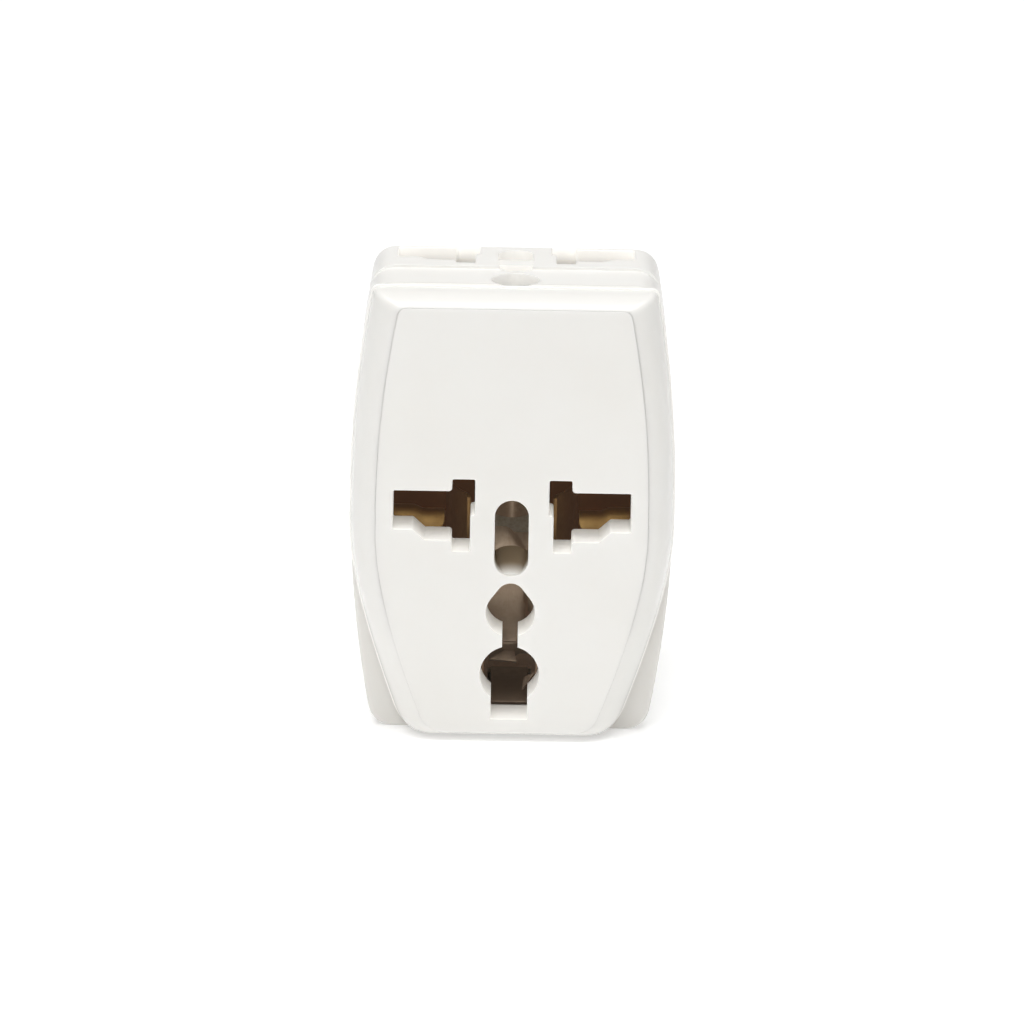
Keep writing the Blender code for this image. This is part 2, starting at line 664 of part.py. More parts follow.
def front_live_contact(name, side):
    """Live contact of the front outlet, with a tail that runs straight back to the busbar."""
    contact = live_contact(name, "front", side, FRONT_CONTACT_BACK)
    start = FRONT_CONTACT_BACK + HALF_SHEET - SHELL_DEPTH
    join(contact, box("tail", sorted((side * WEB_INNER, side * TAIL_OUTER)), (start, TAIL_END),
                      (FRONT_LINE_Z - SHEET, FRONT_LINE_Z)))
    return finish(contact, GOLD_BRASS)


def top_live_contact(name, side):
    """Live contact of the top outlet, with a tail that turns down behind its carrier."""
    contact = live_contact(name, "top", side, TOP_CONTACT_BACK)
    web_z = REAR_ZONE_TOP - TOP_CONTACT_BACK - HALF_SHEET
    join(contact, box("tail", sorted((side * WEB_INNER, side * TAIL_OUTER)),
                      (TAIL_END, TAIL_END + SHEET), (BAR_TOP + GAP, web_z)))
    return finish(contact, GOLD_BRASS)


def busbar(name, side):
    """Brass strip from the plug pin to the contacts of both outlets."""
    bar = box(name, sorted((side * WEB_INNER, side * TAIL_OUTER)),
              (BAR_FRONT, BAR_FRONT + BAR_THICKNESS), (26.0 * MM, BAR_TOP))
    return finish(bar, GOLD_BRASS)


def plug_pin(name, side):
    """Round plug pin with a domed tip, a shoulder inside the plug and a thinner shank."""
    face = BODY_DEPTH + PLUG_LENGTH
    tip = face + PIN_LENGTH
    shoulder = face - PLUG_FACE - GAP
    shoulder_radius = 3.6 * MM
    shoulder_length = 1.6 * MM
    foot = BAR_FRONT + BAR_THICKNESS + GAP
    profile = [(0, tip), (0.9 * MM, tip - 0.15 * MM), (1.7 * MM, tip - 0.7 * MM),
               (2.2 * MM, tip - 1.6 * MM), (PIN_RADIUS, tip - 2.8 * MM), (PIN_RADIUS, shoulder),
               (shoulder_radius, shoulder), (shoulder_radius, shoulder - shoulder_length),
               (PIN_SHANK_RADIUS, shoulder - shoulder_length), (PIN_SHANK_RADIUS, foot), (0, foot)]
    return finish(turned(name, profile, side * PIN_SPACING / 2, PLUG_Z), BRIGHT_NICKEL)


# ---------------------------------------------------------------- earth parts
def earth_channel(name, outlet, low, high, back):
    """Two sprung side leaves on a back plate, along an outlet's upright."""
    half = EARTH_HALF
    plate = up_outlet(name, outlet, [(-half - SHEET, back), (half + SHEET, back),
                                     (half + SHEET, back + SHEET), (-half - SHEET, back + SHEET)],
                      low, high)
    for side in (-1, 1):
        leaf = [(side * (half + 0.5 * MM), CONTACT_MOUTH), (side * half, CONTACT_MOUTH + 1.3 * MM),
                (side * (half - 0.5 * MM), CONTACT_MOUTH + 4.1 * MM),
                (side * (half - 0.4 * MM), CONTACT_MOUTH + 7.0 * MM),
                (side * (half + 0.3 * MM), back + HALF_SHEET)]
        join(plate, up_outlet("earth_leaf", outlet, strip(leaf, SHEET), low, high))
    return plate


def front_earth_contact():
    """Nickel channel behind the obround and the keyhole, with a bent floor under each."""
    back = FRONT_CONTACT_BACK
    channel = earth_channel("front_earth_contact", "front", -25.8 * MM, 1.4 * MM, back)
    for low, rise in ((-7.7 * MM, 2.4 * MM), (-15.4 * MM, 2.2 * MM), (-25.4 * MM, 1.2 * MM)):
        path = [(low, CONTACT_MOUTH), (low + 0.4 * rise, CONTACT_MOUTH + 4.1 * MM),
                (low + rise, CONTACT_MOUTH + 7.6 * MM), (low + rise, back + HALF_SHEET)]
        join(channel, across_outlet("earth_floor", "front", strip(path, SHEET),
                                    (-EARTH_HALF, EARTH_HALF)))
    tail_z = 17.7 * MM
    join(channel, box("tail", (-EARTH_TAIL_HALF, EARTH_TAIL_HALF),
                      (back + HALF_SHEET - SHELL_DEPTH, TAIL_END - 0.4 * MM),
                      (tail_z, tail_z + SHEET)))
    return finish(channel, NICKEL)


def top_earth_contact():
    """Nickel channel below the obround and the round earth hole of the top outlet."""
    back = TOP_CONTACT_BACK
    channel = earth_channel("top_earth_contact", "top", -12.4 * MM, 2.2 * MM, back)
    web_z = REAR_ZONE_TOP - back
    join(channel,
         box("tail", (-EARTH_TAIL_HALF, EARTH_TAIL_HALF), (17.3 * MM, TAIL_END + SHEET),
             (web_z - SHEET, web_z)),
         box("drop", (-EARTH_TAIL_HALF, EARTH_TAIL_HALF), (TAIL_END, TAIL_END + SHEET),
             (BAR_TOP + GAP, web_z - HALF_SHEET)))
    return finish(channel, NICKEL)


def earth_strap():
    """Strip joining both earth contacts, with a foot that reaches back into the plug."""
    front = BAR_FRONT - 0.4 * MM
    strap = box("earth_strap", (-EARTH_TAIL_HALF, EARTH_TAIL_HALF),
                (front, front + BAR_THICKNESS), (16.5 * MM, BAR_TOP))
    foot_z = 33.6 * MM
    join(strap, box("foot", (-EARTH_TAIL_HALF, EARTH_TAIL_HALF),
                    (front + 0.2 * MM, BODY_DEPTH + 0.7 * MM), (foot_z, foot_z + BAR_THICKNESS)))
    return finish(strap, NICKEL)


def earth_bridge():
    """Bar across the inside of the plug that carries both side clips and the earth tube."""
    start = BODY_DEPTH + 1.0 * MM
    half = 13.2 * MM
    bridge = box("earth_bridge", (-CLIP_HALF, CLIP_HALF), (start, start + BAR_THICKNESS),
                 (PLUG_Z - half, PLUG_Z + half))
    return finish(bridge, NICKEL)


def earth_clip(name, side):
    """Sprung side earth strip in its groove, folded in at the rim and at its root."""
    thickness = 0.7 * MM
    start = BODY_DEPTH + GAP + 2.5 * MM
    rim = BODY_DEPTH + PLUG_LENGTH - 0.9 * MM
    path = [(start, PLUG_Z + side * 13.5 * MM), (start, PLUG_Z + side * 16.5 * MM),
            (start + 1.2 * MM, PLUG_Z + side * 17.1 * MM),
            (start + 7.0 * MM, PLUG_Z + side * 17.6 * MM),
            (rim - 1.0 * MM, PLUG_Z + side * 17.1 * MM), (rim, PLUG_Z + side * 16.4 * MM)]
    clip = prism(name, strip(path, thickness), "X", -CLIP_HALF, CLIP_HALF)
    return finish(clip, BRIGHT_NICKEL)


def earth_tube():
    """Split spring tube behind the earth hole in the plug's face."""
    centre = (0, PLUG_Z + EARTH_HOLE_OFFSET)
    outer, inner = 3.0 * MM, 2.45 * MM
    split_ends = (115, 425)
    ring = arc(centre, outer, *split_ends, 20) + arc(centre, inner, *split_ends[::-1], 20)
    tube = prism("earth_tube", ring, "Y", BODY_DEPTH + 2.2 * MM,
                 BODY_DEPTH + PLUG_LENGTH - PLUG_FACE - GAP)
    return finish(tube, NICKEL)


# ---------------------------------------------------------------- fasteners
def screw(name, x, z, head_y, length, forwards=True):
    """Pan head screw along Y. Its shank runs forwards (-Y) or backwards from head_y."""
    way = -1 if forwards else 1
    head = 1.5 * MM
    profile = [(0, head), (1.5 * MM, head), (2.2 * MM, head * 0.75), (HEAD_RADIUS, head * 0.3),
               (HEAD_RADIUS, 0), (SCREW_RADIUS, 0), (SCREW_RADIUS, -length + 1 * MM),
               (0.4 * MM, -length), (0, -length)]
    points = [(radius, head_y - way * along) for radius, along in profile]
    if not forwards:
        points.reverse()
    fastener = turned(name, points, x, z, 20)
    recess = head_y - way * head
    lip = sorted((recess + way * 0.9 * MM, recess - way * 0.5 * MM))
    cut(fastener, box("cross_a", (x - 1.5 * MM, x + 1.5 * MM), lip, (z - 0.3 * MM, z + 0.3 * MM)),
        box("cross_b", (x - 0.3 * MM, x + 0.3 * MM), lip, (z - 1.5 * MM, z + 1.5 * MM)))
    return finish(fastener, ZINC)


def build():
    clear_scene()
    front_shell()
    front_face_plate()
    rear_body()
    plug_base()
    contact_carriers()
    for label, side in (("line", 1), ("neutral", -1)):
        front_live_contact("front_" + label + "_contact", side)
        top_live_contact("top_" + label + "_contact", side)
        busbar(label + "_busbar", side)
        plug_pin(label + "_pin", side)
    front_earth_contact()
    top_earth_contact()
    earth_strap()
    earth_bridge()
    earth_tube()
    for label, side in (("upper", 1), ("lower", -1)):
        earth_clip(label + "_earth_clip", side)
    for label, side in (("left", -1), ("right", 1)):
        screw("case_screw_" + label, side * CASE_SCREW[0], CASE_SCREW[1],
              BODY_DEPTH - HEAD_DEPTH + GAP, 19.0 * MM)
        screw("plug_screw_" + label, side * PLUG_SCREW[0], PLUG_Z - PLUG_SCREW[1],
              BODY_DEPTH - REAR_WALL - GAP, 8.0 * MM, forwards=False)


build()
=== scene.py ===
"""Looks of the universal travel adapter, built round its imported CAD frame.

The mouldings, contacts, pins and screws are remade finely in the places that the frame
gives, every piece gets a procedural material, and the object stands in soft studio light.
Outlets are drawn in their own directions: u across, v along the outlet's upright, w inwards.
"""

import math

import bmesh
import bpy
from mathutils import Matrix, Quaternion, Vector


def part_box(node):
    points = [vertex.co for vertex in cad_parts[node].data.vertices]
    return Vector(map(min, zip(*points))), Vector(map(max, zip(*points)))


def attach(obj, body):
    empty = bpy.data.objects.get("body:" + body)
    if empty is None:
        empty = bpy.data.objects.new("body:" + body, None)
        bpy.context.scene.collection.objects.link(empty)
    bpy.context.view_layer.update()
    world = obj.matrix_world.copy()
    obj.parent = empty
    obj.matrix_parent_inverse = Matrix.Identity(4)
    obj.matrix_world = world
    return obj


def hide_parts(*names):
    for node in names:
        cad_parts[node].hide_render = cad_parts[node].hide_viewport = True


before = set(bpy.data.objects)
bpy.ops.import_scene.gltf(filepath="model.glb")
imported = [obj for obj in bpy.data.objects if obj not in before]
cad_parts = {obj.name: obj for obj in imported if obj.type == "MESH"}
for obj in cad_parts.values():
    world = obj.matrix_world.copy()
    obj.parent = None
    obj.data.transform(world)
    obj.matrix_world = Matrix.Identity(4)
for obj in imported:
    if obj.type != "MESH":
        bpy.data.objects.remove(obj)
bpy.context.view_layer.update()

MM = 0.001
GAP = 0.3 * MM

# Places read from the frame
FACE_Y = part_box("front_face_plate")[0].y
JOIN_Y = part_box("rear_body")[0].y - GAP
BODY_BACK_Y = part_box("rear_body")[1].y
TOP_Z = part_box("rear_body")[1].z
PLUG_FACE_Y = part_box("plug_base")[1].y
PLUG_Z = (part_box("plug_base")[0].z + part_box("plug_base")[1].z) / 2
PLUG_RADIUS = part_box("plug_base")[1].x
PIN_TIP_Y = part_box("line_pin")[1].y
PIN_X = (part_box("line_pin")[0].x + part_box("line_pin")[1].x) / 2

# Depths counted from the join between the front shell and the rear body
SHELL_DEPTH = JOIN_Y - FACE_Y
BODY_DEPTH = BODY_BACK_Y - JOIN_Y
PLUG_END = PLUG_FACE_Y - JOIN_Y
PIN_END = PIN_TIP_Y - JOIN_Y
FACE = -SHELL_DEPTH

# Barrel profile and heights
WAIST_Z = 30.5 * MM
BARREL_RADIUS = 152.0 * MM
SHELL_HALF_WIDTH = 20.5 * MM
BODY_HALF_WIDTH = 20.65 * MM
SHELL_TOP = TOP_Z - 0.6 * MM
FRONT_ZONE_TOP = TOP_Z - 0.35 * MM
RAMP_START = 8.7 * MM
RAMP_END = 8.8 * MM
REAR_ROUND = 2.8 * MM
REAR_ROUND_BOTTOM = 1.2 * MM
LIP = 0.25 * MM
LIP_DEPTH = 0.55 * MM
LIP_EDGE = 0.18 * MM
SHELL_CORNER = 1.0 * MM
BODY_CORNER = 2.9 * MM
WING_EDGE = 0.4 * MM

# How far inside the shield outline things lie: side, top, bottom
SHELL_HOLLOW = (3.0 * MM, 3.2 * MM, 2.1 * MM)
SKIRT = (2.3 * MM, 2.4 * MM, 2.2 * MM)
SKIRT_MOUTH = (2.0 * MM, 2.1 * MM, 1.9 * MM)

# Walls, face plate and its seam
WALL = 1.7 * MM
REAR_WALL = 1.4 * MM
GUIDE_WALL = 0.8 * MM
GUIDE_DEPTH = 6.3 * MM
BORDER_SIDE = 3.45 * MM
BORDER_TOP = 1.75 * MM
BORDER_BOTTOM = 1.5 * MM
PLATE_THICKNESS = 2.4 * MM
PLATE_GROW = 0.2 * MM
SEAT_GROW = 0.26 * MM
PLATE_EDGE = 0.03 * MM
SEAM_DEPTH = 0.035 * MM
SEAM_STEP = 0.004 * MM

# Universal outlet, from the line through the centres of its live slots
FRONT_LINE_Z = 30.0 * MM
TOP_LINE_Y = 15.4 * MM
BLADE_INNER = 4.62 * MM
BLADE_INNER_LOW = 5.2 * MM
BLADE_OUTER = 7.7 * MM
BLADE_HALF = 4.82 * MM
FLAT_OUTER = 15.2 * MM
FLAT_UP = 3.25 * MM
FLAT_DOWN = 3.35 * MM
FLAT_DOWN_OUTER = 2.0 * MM
SLANT_INNER = 11.1 * MM
SLANT_OUTER = 12.6 * MM
SLOT_CORNER = 0.32 * MM
OBROUND_RADIUS = 2.24 * MM
OBROUND_UP = 2.13 * MM
OBROUND_DOWN = 8.0 * MM
RAMP_DOWN = 5.7 * MM
EARTH_SMALL = (-10.7 * MM, 1.92 * MM)
EARTH_BIG = (-12.8 * MM, 3.2 * MM)
TOP_EARTH_BIG = (-12.35 * MM, 3.13 * MM)
EARTH_LOW = (-21.0 * MM, 3.86 * MM)
NECK_HALF = 1.07 * MM
SLOT_HALF = 2.42 * MM
SLOT_DOWN = 27.0 * MM
HOLE_EDGE = 0.15 * MM
HOLE_SHRINK = 0.08 * MM

# Contacts
SHEET = 0.5 * MM
MOUTH = GUIDE_DEPTH + 0.6 * MM
FRONT_BACK = SHELL_DEPTH + 12.7 * MM
TOP_BACK = TOP_Z - 42.5 * MM

# Plug and screws
PLUG_WALL = 1.7 * MM
PLUG_FACE = 2.5 * MM
PIN_RADIUS = 2.4 * MM
EARTH_HOLE_OFFSET = 10.0 * MM
CLIP_HALF = 2.0 * MM
CASE_SCREW = (11.2 * MM, 8.3 * MM)
PLUG_SCREW = (9.8 * MM, PLUG_Z - 9.3 * MM)
SCREW_RADIUS = 1.25 * MM
HEAD_RADIUS = 2.5 * MM
HEAD_DEPTH = 3.2 * MM
FRONT_BOSS = 2.17 * MM
REAR_BOSS = 2.9 * MM
PLUG_BOSS = 2.6 * MM


# ---------------------------------------------------------------- mesh building
def link_mesh(name, shape):
    mesh = bpy.data.meshes.new(name)
    shape.to_mesh(mesh)
    shape.free()
    obj = bpy.data.objects.new(name, mesh)
    bpy.context.scene.collection.objects.link(obj)
    return obj


def apply_modifiers(obj):
    graph = bpy.context.evaluated_depsgraph_get()
    mesh = bpy.data.meshes.new_from_object(obj.evaluated_get(graph))
    obj.modifiers.clear()
    obj.data = mesh
    return obj


def combine(target, operation, *tools):
    """Boolean each tool into the target, then remove the tools."""
    for tool in tools:
        modifier = target.modifiers.new(tool.name, "BOOLEAN")
        modifier.operation = operation
        modifier.solver = "EXACT"
        modifier.object = tool
    apply_modifiers(target)
    for tool in tools:
        bpy.data.objects.remove(tool, do_unlink=True)
    return target


def cut(target, *tools):
    return combine(target, "DIFFERENCE", *tools)


def join(target, *tools):
    return combine(target, "UNION", *tools)


def spot(axis, level, u, v):
    """World place of an outline point (u, v) at a level along an axis; y is from the join."""
    if axis == "X":
        return Vector((level, JOIN_Y + u, v))
    if axis == "Y":
        return Vector((u, JOIN_Y + level, v))
    return Vector((u, JOIN_Y + v, level))


def loft(name, sections, axis="Y"):
    """Skin (level, outline) sections that all have the same number of points."""
    shape = bmesh.new()
    rings = [[shape.verts.new(spot(axis, level, u, v)) for u, v in outline]
             for level, outline in sections]
    for ring, following in zip(rings, rings[1:]):
        for i, vert in enumerate(ring):
            j = (i + 1) % len(ring)
            shape.faces.new((vert, ring[j], following[j], following[i]))
    shape.faces.new(rings[0])
    shape.faces.new(rings[-1])
    bmesh.ops.recalc_face_normals(shape, faces=shape.faces)
    return link_mesh(name, shape)


def prism(name, outline, low, high, axis="Y"):
    return loft(name, [(low, outline), (high, outline)], axis)


def block(name, x, y, z, edge=0.0):
    """A box from (low, high) ranges, with rounded edges where edge is given."""
    corners = [(x[0], z[0]), (x[1], z[0]), (x[1], z[1]), (x[0], z[1])]
    obj = prism(name, corners, y[0], y[1])
    if edge:
        soften(obj, edge)
    return obj


def add_bevel(obj, width, angle):
    """Round the edges that are sharper than an angle in degrees."""
    modifier = obj.modifiers.new("edge", "BEVEL")
    modifier.width = width
    modifier.segments = 2
    modifier.limit_method = "ANGLE"
    modifier.angle_limit = math.radians(angle)


def soften(obj, width):
    add_bevel(obj, width, 50)
    return apply_modifiers(obj)


def span(half, centre=0.0):
    """A (low, high) range about a centre."""
    return centre - half, centre + half


def circle(radius, centre, steps=96):
    return [(centre[0] + radius * math.cos(math.tau * i / steps),
             centre[1] + radius * math.sin(math.tau * i / steps)) for i in range(steps)]


def shank_hole(name, centre, low, high):
    """Cutter along Y with a gap all round a screw's shank."""
    return prism(name, circle(SCREW_RADIUS + GAP, centre, 48), low, high)


def turned(name, profile, centre, steps):
    """Turn a row of (radius, y) points about an axis along Y."""
    return loft(name, [(y, circle(radius, centre, steps)) for radius, y in profile])


def sheet_metal(name, rows, thickness=SHEET):
    """A pressed sheet with rounded edges from rows of points on its middle surface."""
    shape = bmesh.new()
    grid = [[shape.verts.new(point) for point in row] for row in rows]
    for row, following in zip(grid, grid[1:]):
        for i in range(len(row) - 1):
            shape.faces.new((row[i], row[i + 1], following[i + 1], following[i]))
    bmesh.ops.recalc_face_normals(shape, faces=shape.faces)
    obj = link_mesh(name, shape)
    solidify = obj.modifiers.new("thickness", "SOLIDIFY")
    solidify.thickness = thickness
    solidify.offset = 0
    apply_modifiers(obj)
    return soften(obj, thickness * 0.22)


# ---------------------------------------------------------------- outlines
def bezier(points, steps):
    """Points on a Bezier curve through its first and last control points."""
    result = []
    for i in range(steps + 1):
        t = i / steps
        level = list(points)
        while len(level) > 1:
            level = [(a[0] + (b[0] - a[0]) * t, a[1] + (b[1] - a[1]) * t)
                     for a, b in zip(level, level[1:])]
        result.append(level[0])
    return result


def arc(centre, radius, start, end, steps):
    """Points on an arc between two angles in degrees."""
    angles = [math.radians(start + (end - start) * i / steps) for i in range(steps + 1)]
    return [(centre[0] + radius * math.cos(angle), centre[1] + radius * math.sin(angle))
            for angle in angles]


def quarter(steps):
    """Even angles over a quarter turn, both ends included."""
    return [math.pi / 2 * i / steps for i in range(steps + 1)]


def both_sides(right):
    """Close a right-hand half outline, lowest point first, with its mirror image."""
    return right + [(-x, z) for x, z in reversed(right) if x > 0.001 * MM]


def mirrored(outline):
    return [(-x, v) for x, v in reversed(outline)]


def grown(outline, amount):
    """Move every edge of an outline outwards by the same amount."""
    count = len(outline)
    area = sum(outline[i - 1][0] * outline[i][1] - outline[i][0] * outline[i - 1][1]
               for i in range(count))
    way = 1 if area > 0 else -1
    result = []
    for i in range(count):
        normals = []
        for a, b in ((outline[i - 1], outline[i]), (outline[i], outline[(i + 1) % count])):
            length = math.hypot(b[0] - a[0], b[1] - a[1])
            normals.append((way * (b[1] - a[1]) / length, way * (a[0] - b[0]) / length))
        (ax, ay), (bx, by) = normals
        reach = amount / (1 + ax * bx + ay * by)
        result.append((outline[i][0] + (ax + bx) * reach, outline[i][1] + (ay + by) * reach))
    return result


def rounded(outline):
    """Round the corners of a slot's outline with arcs."""
    result = []
    for i, corner_point in enumerate(outline):
        here = Vector(corner_point)
        ways = [Vector(outline[i - 1]) - here, Vector(outline[(i + 1) % len(outline)]) - here]
        spread = math.tan(ways[0].angle(ways[1]) / 2)
        reach = min(SLOT_CORNER / spread, 0.45 * min(way.length for way in ways))
        tangents = [here + way.normalized() * reach for way in ways]
        bisector = (ways[0].normalized() + ways[1].normalized()).normalized()
        centre = here + bisector * math.hypot(reach, reach * spread)
        for k in range(5):
            ray = (tangents[0] - centre).lerp(tangents[1] - centre, k / 4)
            result.append(tuple(centre + ray.normalized() * reach * spread))
    return result


def barrel(z, half_width, bend):
    return half_width - bend * (z - WAIST_Z) ** 2 / (2 * BARREL_RADIUS)


def barrel_side(half_width, low, high, steps, bend=1.0):
    heights = [low + (high - low) * i / steps for i in range(steps + 1)]
    return [(barrel(z, half_width, bend), z) for z in heights]


def corner(half_width, z, z_tangent, reach, steps=10, bend=1.0):
    """A rounded corner between the barrel side at z_tangent and a flat edge at z."""
    edge = barrel(z, half_width, bend)
    points = [(barrel(z_tangent, half_width, bend), z_tangent), (edge, z), (edge - reach, z)]
    return bezier(points, steps)


def body_outline(inset, top, bottom=0.0):
    """Barrel outline of the rear body with rounded corners."""
    half_width = BODY_HALF_WIDTH - inset
    reach = max(BODY_CORNER - inset, 0.8 * MM)
    low = corner(half_width, bottom, bottom + reach, reach)
    side = barrel_side(half_width, bottom + reach, top - reach, 26)
    high = corner(half_width, top, top - reach, reach)
    return both_sides(low[::-1] + side[1:-1] + high)


def shell_outline(side, top, bottom=0.0):
    """Shield outline of the front shell, moved in: a barrel above a narrow curved foot."""
    half_width = SHELL_HALF_WIDTH - side
    high_z = SHELL_TOP - top
    bend = 1 + side / (18 * MM)
    cheek = (14.6 * MM - 0.95 * side, 3.2 * MM + 0.6 * bottom)
    foot = bezier([(10.8 * MM - 0.9 * side, bottom), (13.3 * MM - 0.8 * side, bottom), cheek], 12)
    flank = bezier([cheek, (17.2 * MM - 0.95 * side, 10.5 * MM),
                    (half_width + 0.12 * MM, 20.5 * MM), (half_width, 28.0 * MM)], 28)
    upper = barrel_side(half_width, 28.0 * MM, high_z - SHELL_CORNER, 18, bend)
    high = corner(half_width, high_z, high_z - SHELL_CORNER, SHELL_CORNER, 8, bend)
    return both_sides(foot + flank[1:] + upper[1:-1] + high)


def plate_outline(grow):
    return shell_outline(BORDER_SIDE - grow, BORDER_TOP - grow, BORDER_BOTTOM - grow)


def live_slot(line):
    """Right-hand live slot: an upright blade slot with a stepped flat slot beside it."""
    return [
        (BLADE_INNER, line), (BLADE_INNER_LOW, line), (BLADE_INNER_LOW, line - BLADE_HALF),
        (BLADE_OUTER, line - BLADE_HALF), (BLADE_OUTER, line - FLAT_DOWN),
        (SLANT_INNER, line - FLAT_DOWN), (SLANT_OUTER, line - FLAT_DOWN_OUTER),
        (FLAT_OUTER, line - FLAT_DOWN_OUTER), (FLAT_OUTER, line + FLAT_UP),
        (BLADE_OUTER, line + FLAT_UP), (BLADE_OUTER, line + BLADE_HALF),
        (BLADE_INNER, line + BLADE_HALF),
    ]


def obround(line):
    high = line + OBROUND_UP - OBROUND_RADIUS
    low = line - OBROUND_DOWN + OBROUND_RADIUS
    return arc((0, high), OBROUND_RADIUS, 0, 180, 24) + arc((0, low), OBROUND_RADIUS, 180, 360, 24)


def earth_bulb(line, low_angle, low_round=EARTH_BIG):
    """Right half of the upper earth hole, bottom first: a big round under a small one."""
    small = (0, line + EARTH_SMALL[0])
    big = (0, line + low_round[0])
    lean = math.degrees(math.asin((low_round[1] - EARTH_SMALL[1]) / (small[1] - big[1])))
    return arc(big, low_round[1], low_angle, lean, 20) + arc(small, EARTH_SMALL[1], lean, 90, 8)


def keyhole(line):
    """Full earth opening: upper hole, neck, lower round and the straight slot below it."""
    radius = EARTH_LOW[1]
    low = (0, line + EARTH_LOW[0])
    neck_angle = math.degrees(math.asin(NECK_HALF / EARTH_BIG[1])) - 90
    top_angle = 90 - math.degrees(math.asin(NECK_HALF / radius))
    foot_angle = math.degrees(math.asin(SLOT_HALF / radius)) - 90
    right = [(SLOT_HALF, line - SLOT_DOWN)]
    right += arc(low, radius, foot_angle, top_angle, 24)
    right += earth_bulb(line, neck_angle)
    return both_sides(right)


def flared(name, outline, face, inwards, depth, axis="Y", edge=HOLE_EDGE):
    """Cutter for a hole whose rim is rounded over; inwards is 1 or -1 along the axis."""
    above = 0.05 * edge
    sections = [(face - inwards * MM, grown(outline, 1.1 * edge)),
                (face - inwards * above, grown(outline, 1.1 * edge))]
    for angle in quarter(5)[1:]:
        sections.append((face + inwards * edge * (1 - math.cos(angle)),
                         grown(outline, edge * (1 - math.sin(angle)))))
    sections.append((face + inwards * depth, outline))
    return loft(name, sections, axis)


# ---------------------------------------------------------------- node materials
class Nodes:
    """Short ways to add nodes to a material's or the world's tree."""

    def __init__(self, tree):
        self.tree = tree

    def feed(self, target, value):
        """Link a node's output to a socket, or set the socket to a constant."""
        if hasattr(value, "is_output"):
            self.tree.links.new(value, target)
        else:
            target.default_value = value

    def node(self, kind, **inputs):
        made = self.tree.nodes.new(kind)
        for socket, value in inputs.items():
            self.feed(made.inputs[socket.replace("_", " ")], value)
        return made

    def spread(self, value, low, high, start=0.3, end=0.7, curve="LINEAR"):
        """Map a value between start and end onto low to high."""
        made = self.node("ShaderNodeMapRange", Value=value, From_Min=start, From_Max=end,
                         To_Min=low, To_Max=high)
        made.interpolation_type = curve
        return made.outputs["Result"]


class Finish(Nodes):
    """A Principled material whose colour, roughness and surface come from noise nodes."""

    def __init__(self, name, **constants):
        self.material = bpy.data.materials.new(name)
        self.material.use_nodes = True
        super().__init__(self.material.node_tree)
        self.shader = self.tree.nodes["Principled BSDF"]
        self.coords = self.node("ShaderNodeTexCoord").outputs["Object"]
        self.surface = None
        for socket, value in constants.items():
            self.shader.inputs[socket.replace("_", " ")].default_value = value

    def noise(self, size, detail, rough=0.5, stretch=(1, 1, 1)):
        """Noise whose features measure about size metres."""
        mapping = self.node("ShaderNodeMapping", Vector=self.coords, Scale=stretch)
        made = self.node("ShaderNodeTexNoise", Vector=mapping.outputs["Vector"],
                         Scale=1 / size, Detail=detail, Roughness=rough)
        return made.outputs["Fac"]

    def tint(self, value, *stops):
        """Colour by a value: stops are (position, (r, g, b))."""
        ramp = self.tree.nodes.new("ShaderNodeValToRGB")
        elements = ramp.color_ramp.elements
        while len(elements) < len(stops):
            elements.new(0.5)
        for element, (position, colour) in zip(elements, stops):
            element.position = position
            element.color = (*colour, 1)
        self.tree.links.new(value, ramp.inputs["Fac"])
        return ramp.outputs["Color"]

    def mix(self, factor, first, second):
        made = self.tree.nodes.new("ShaderNodeMix")
        made.data_type = "RGBA"
        for socket, value in ((0, factor), (6, first), (7, second)):
            self.feed(made.inputs[socket], value)
        return made.outputs[2]

    def depth(self, axis, start, end, low, high):
        """A value that goes smoothly from low at start to high at end along an axis."""
        parts = self.node("ShaderNodeSeparateXYZ", Vector=self.coords)
        return self.spread(parts.outputs[axis], low, high, start, end, "SMOOTHSTEP")

    def paint_shade(self, colour, shade_colour, place):
        """Painted shade: blend a colour towards a shade colour by its depth; place is what depth()
        takes.
        """
        return self.mix(self.depth(*place), colour, (*shade_colour, 1))

    def paint_glow(self, hue, place):
        """Painted glow: emission of one colour by depth; place is what depth() takes."""
        self.shader.inputs["Emission Color"].default_value = (*hue, 1)
        self.drive("Emission Strength", self.depth(*place))

    def drive(self, socket, value):
        self.tree.links.new(value, self.shader.inputs[socket])

    def bump(self, height, strength, distance):
        """Stack a bump on the ones before it."""
        made = self.node("ShaderNodeBump", Height=height, Strength=strength, Distance=distance)
        if self.surface:
            self.tree.links.new(self.surface, made.inputs["Normal"])
        self.surface = made.outputs["Normal"]
        self.drive("Normal", self.surface)


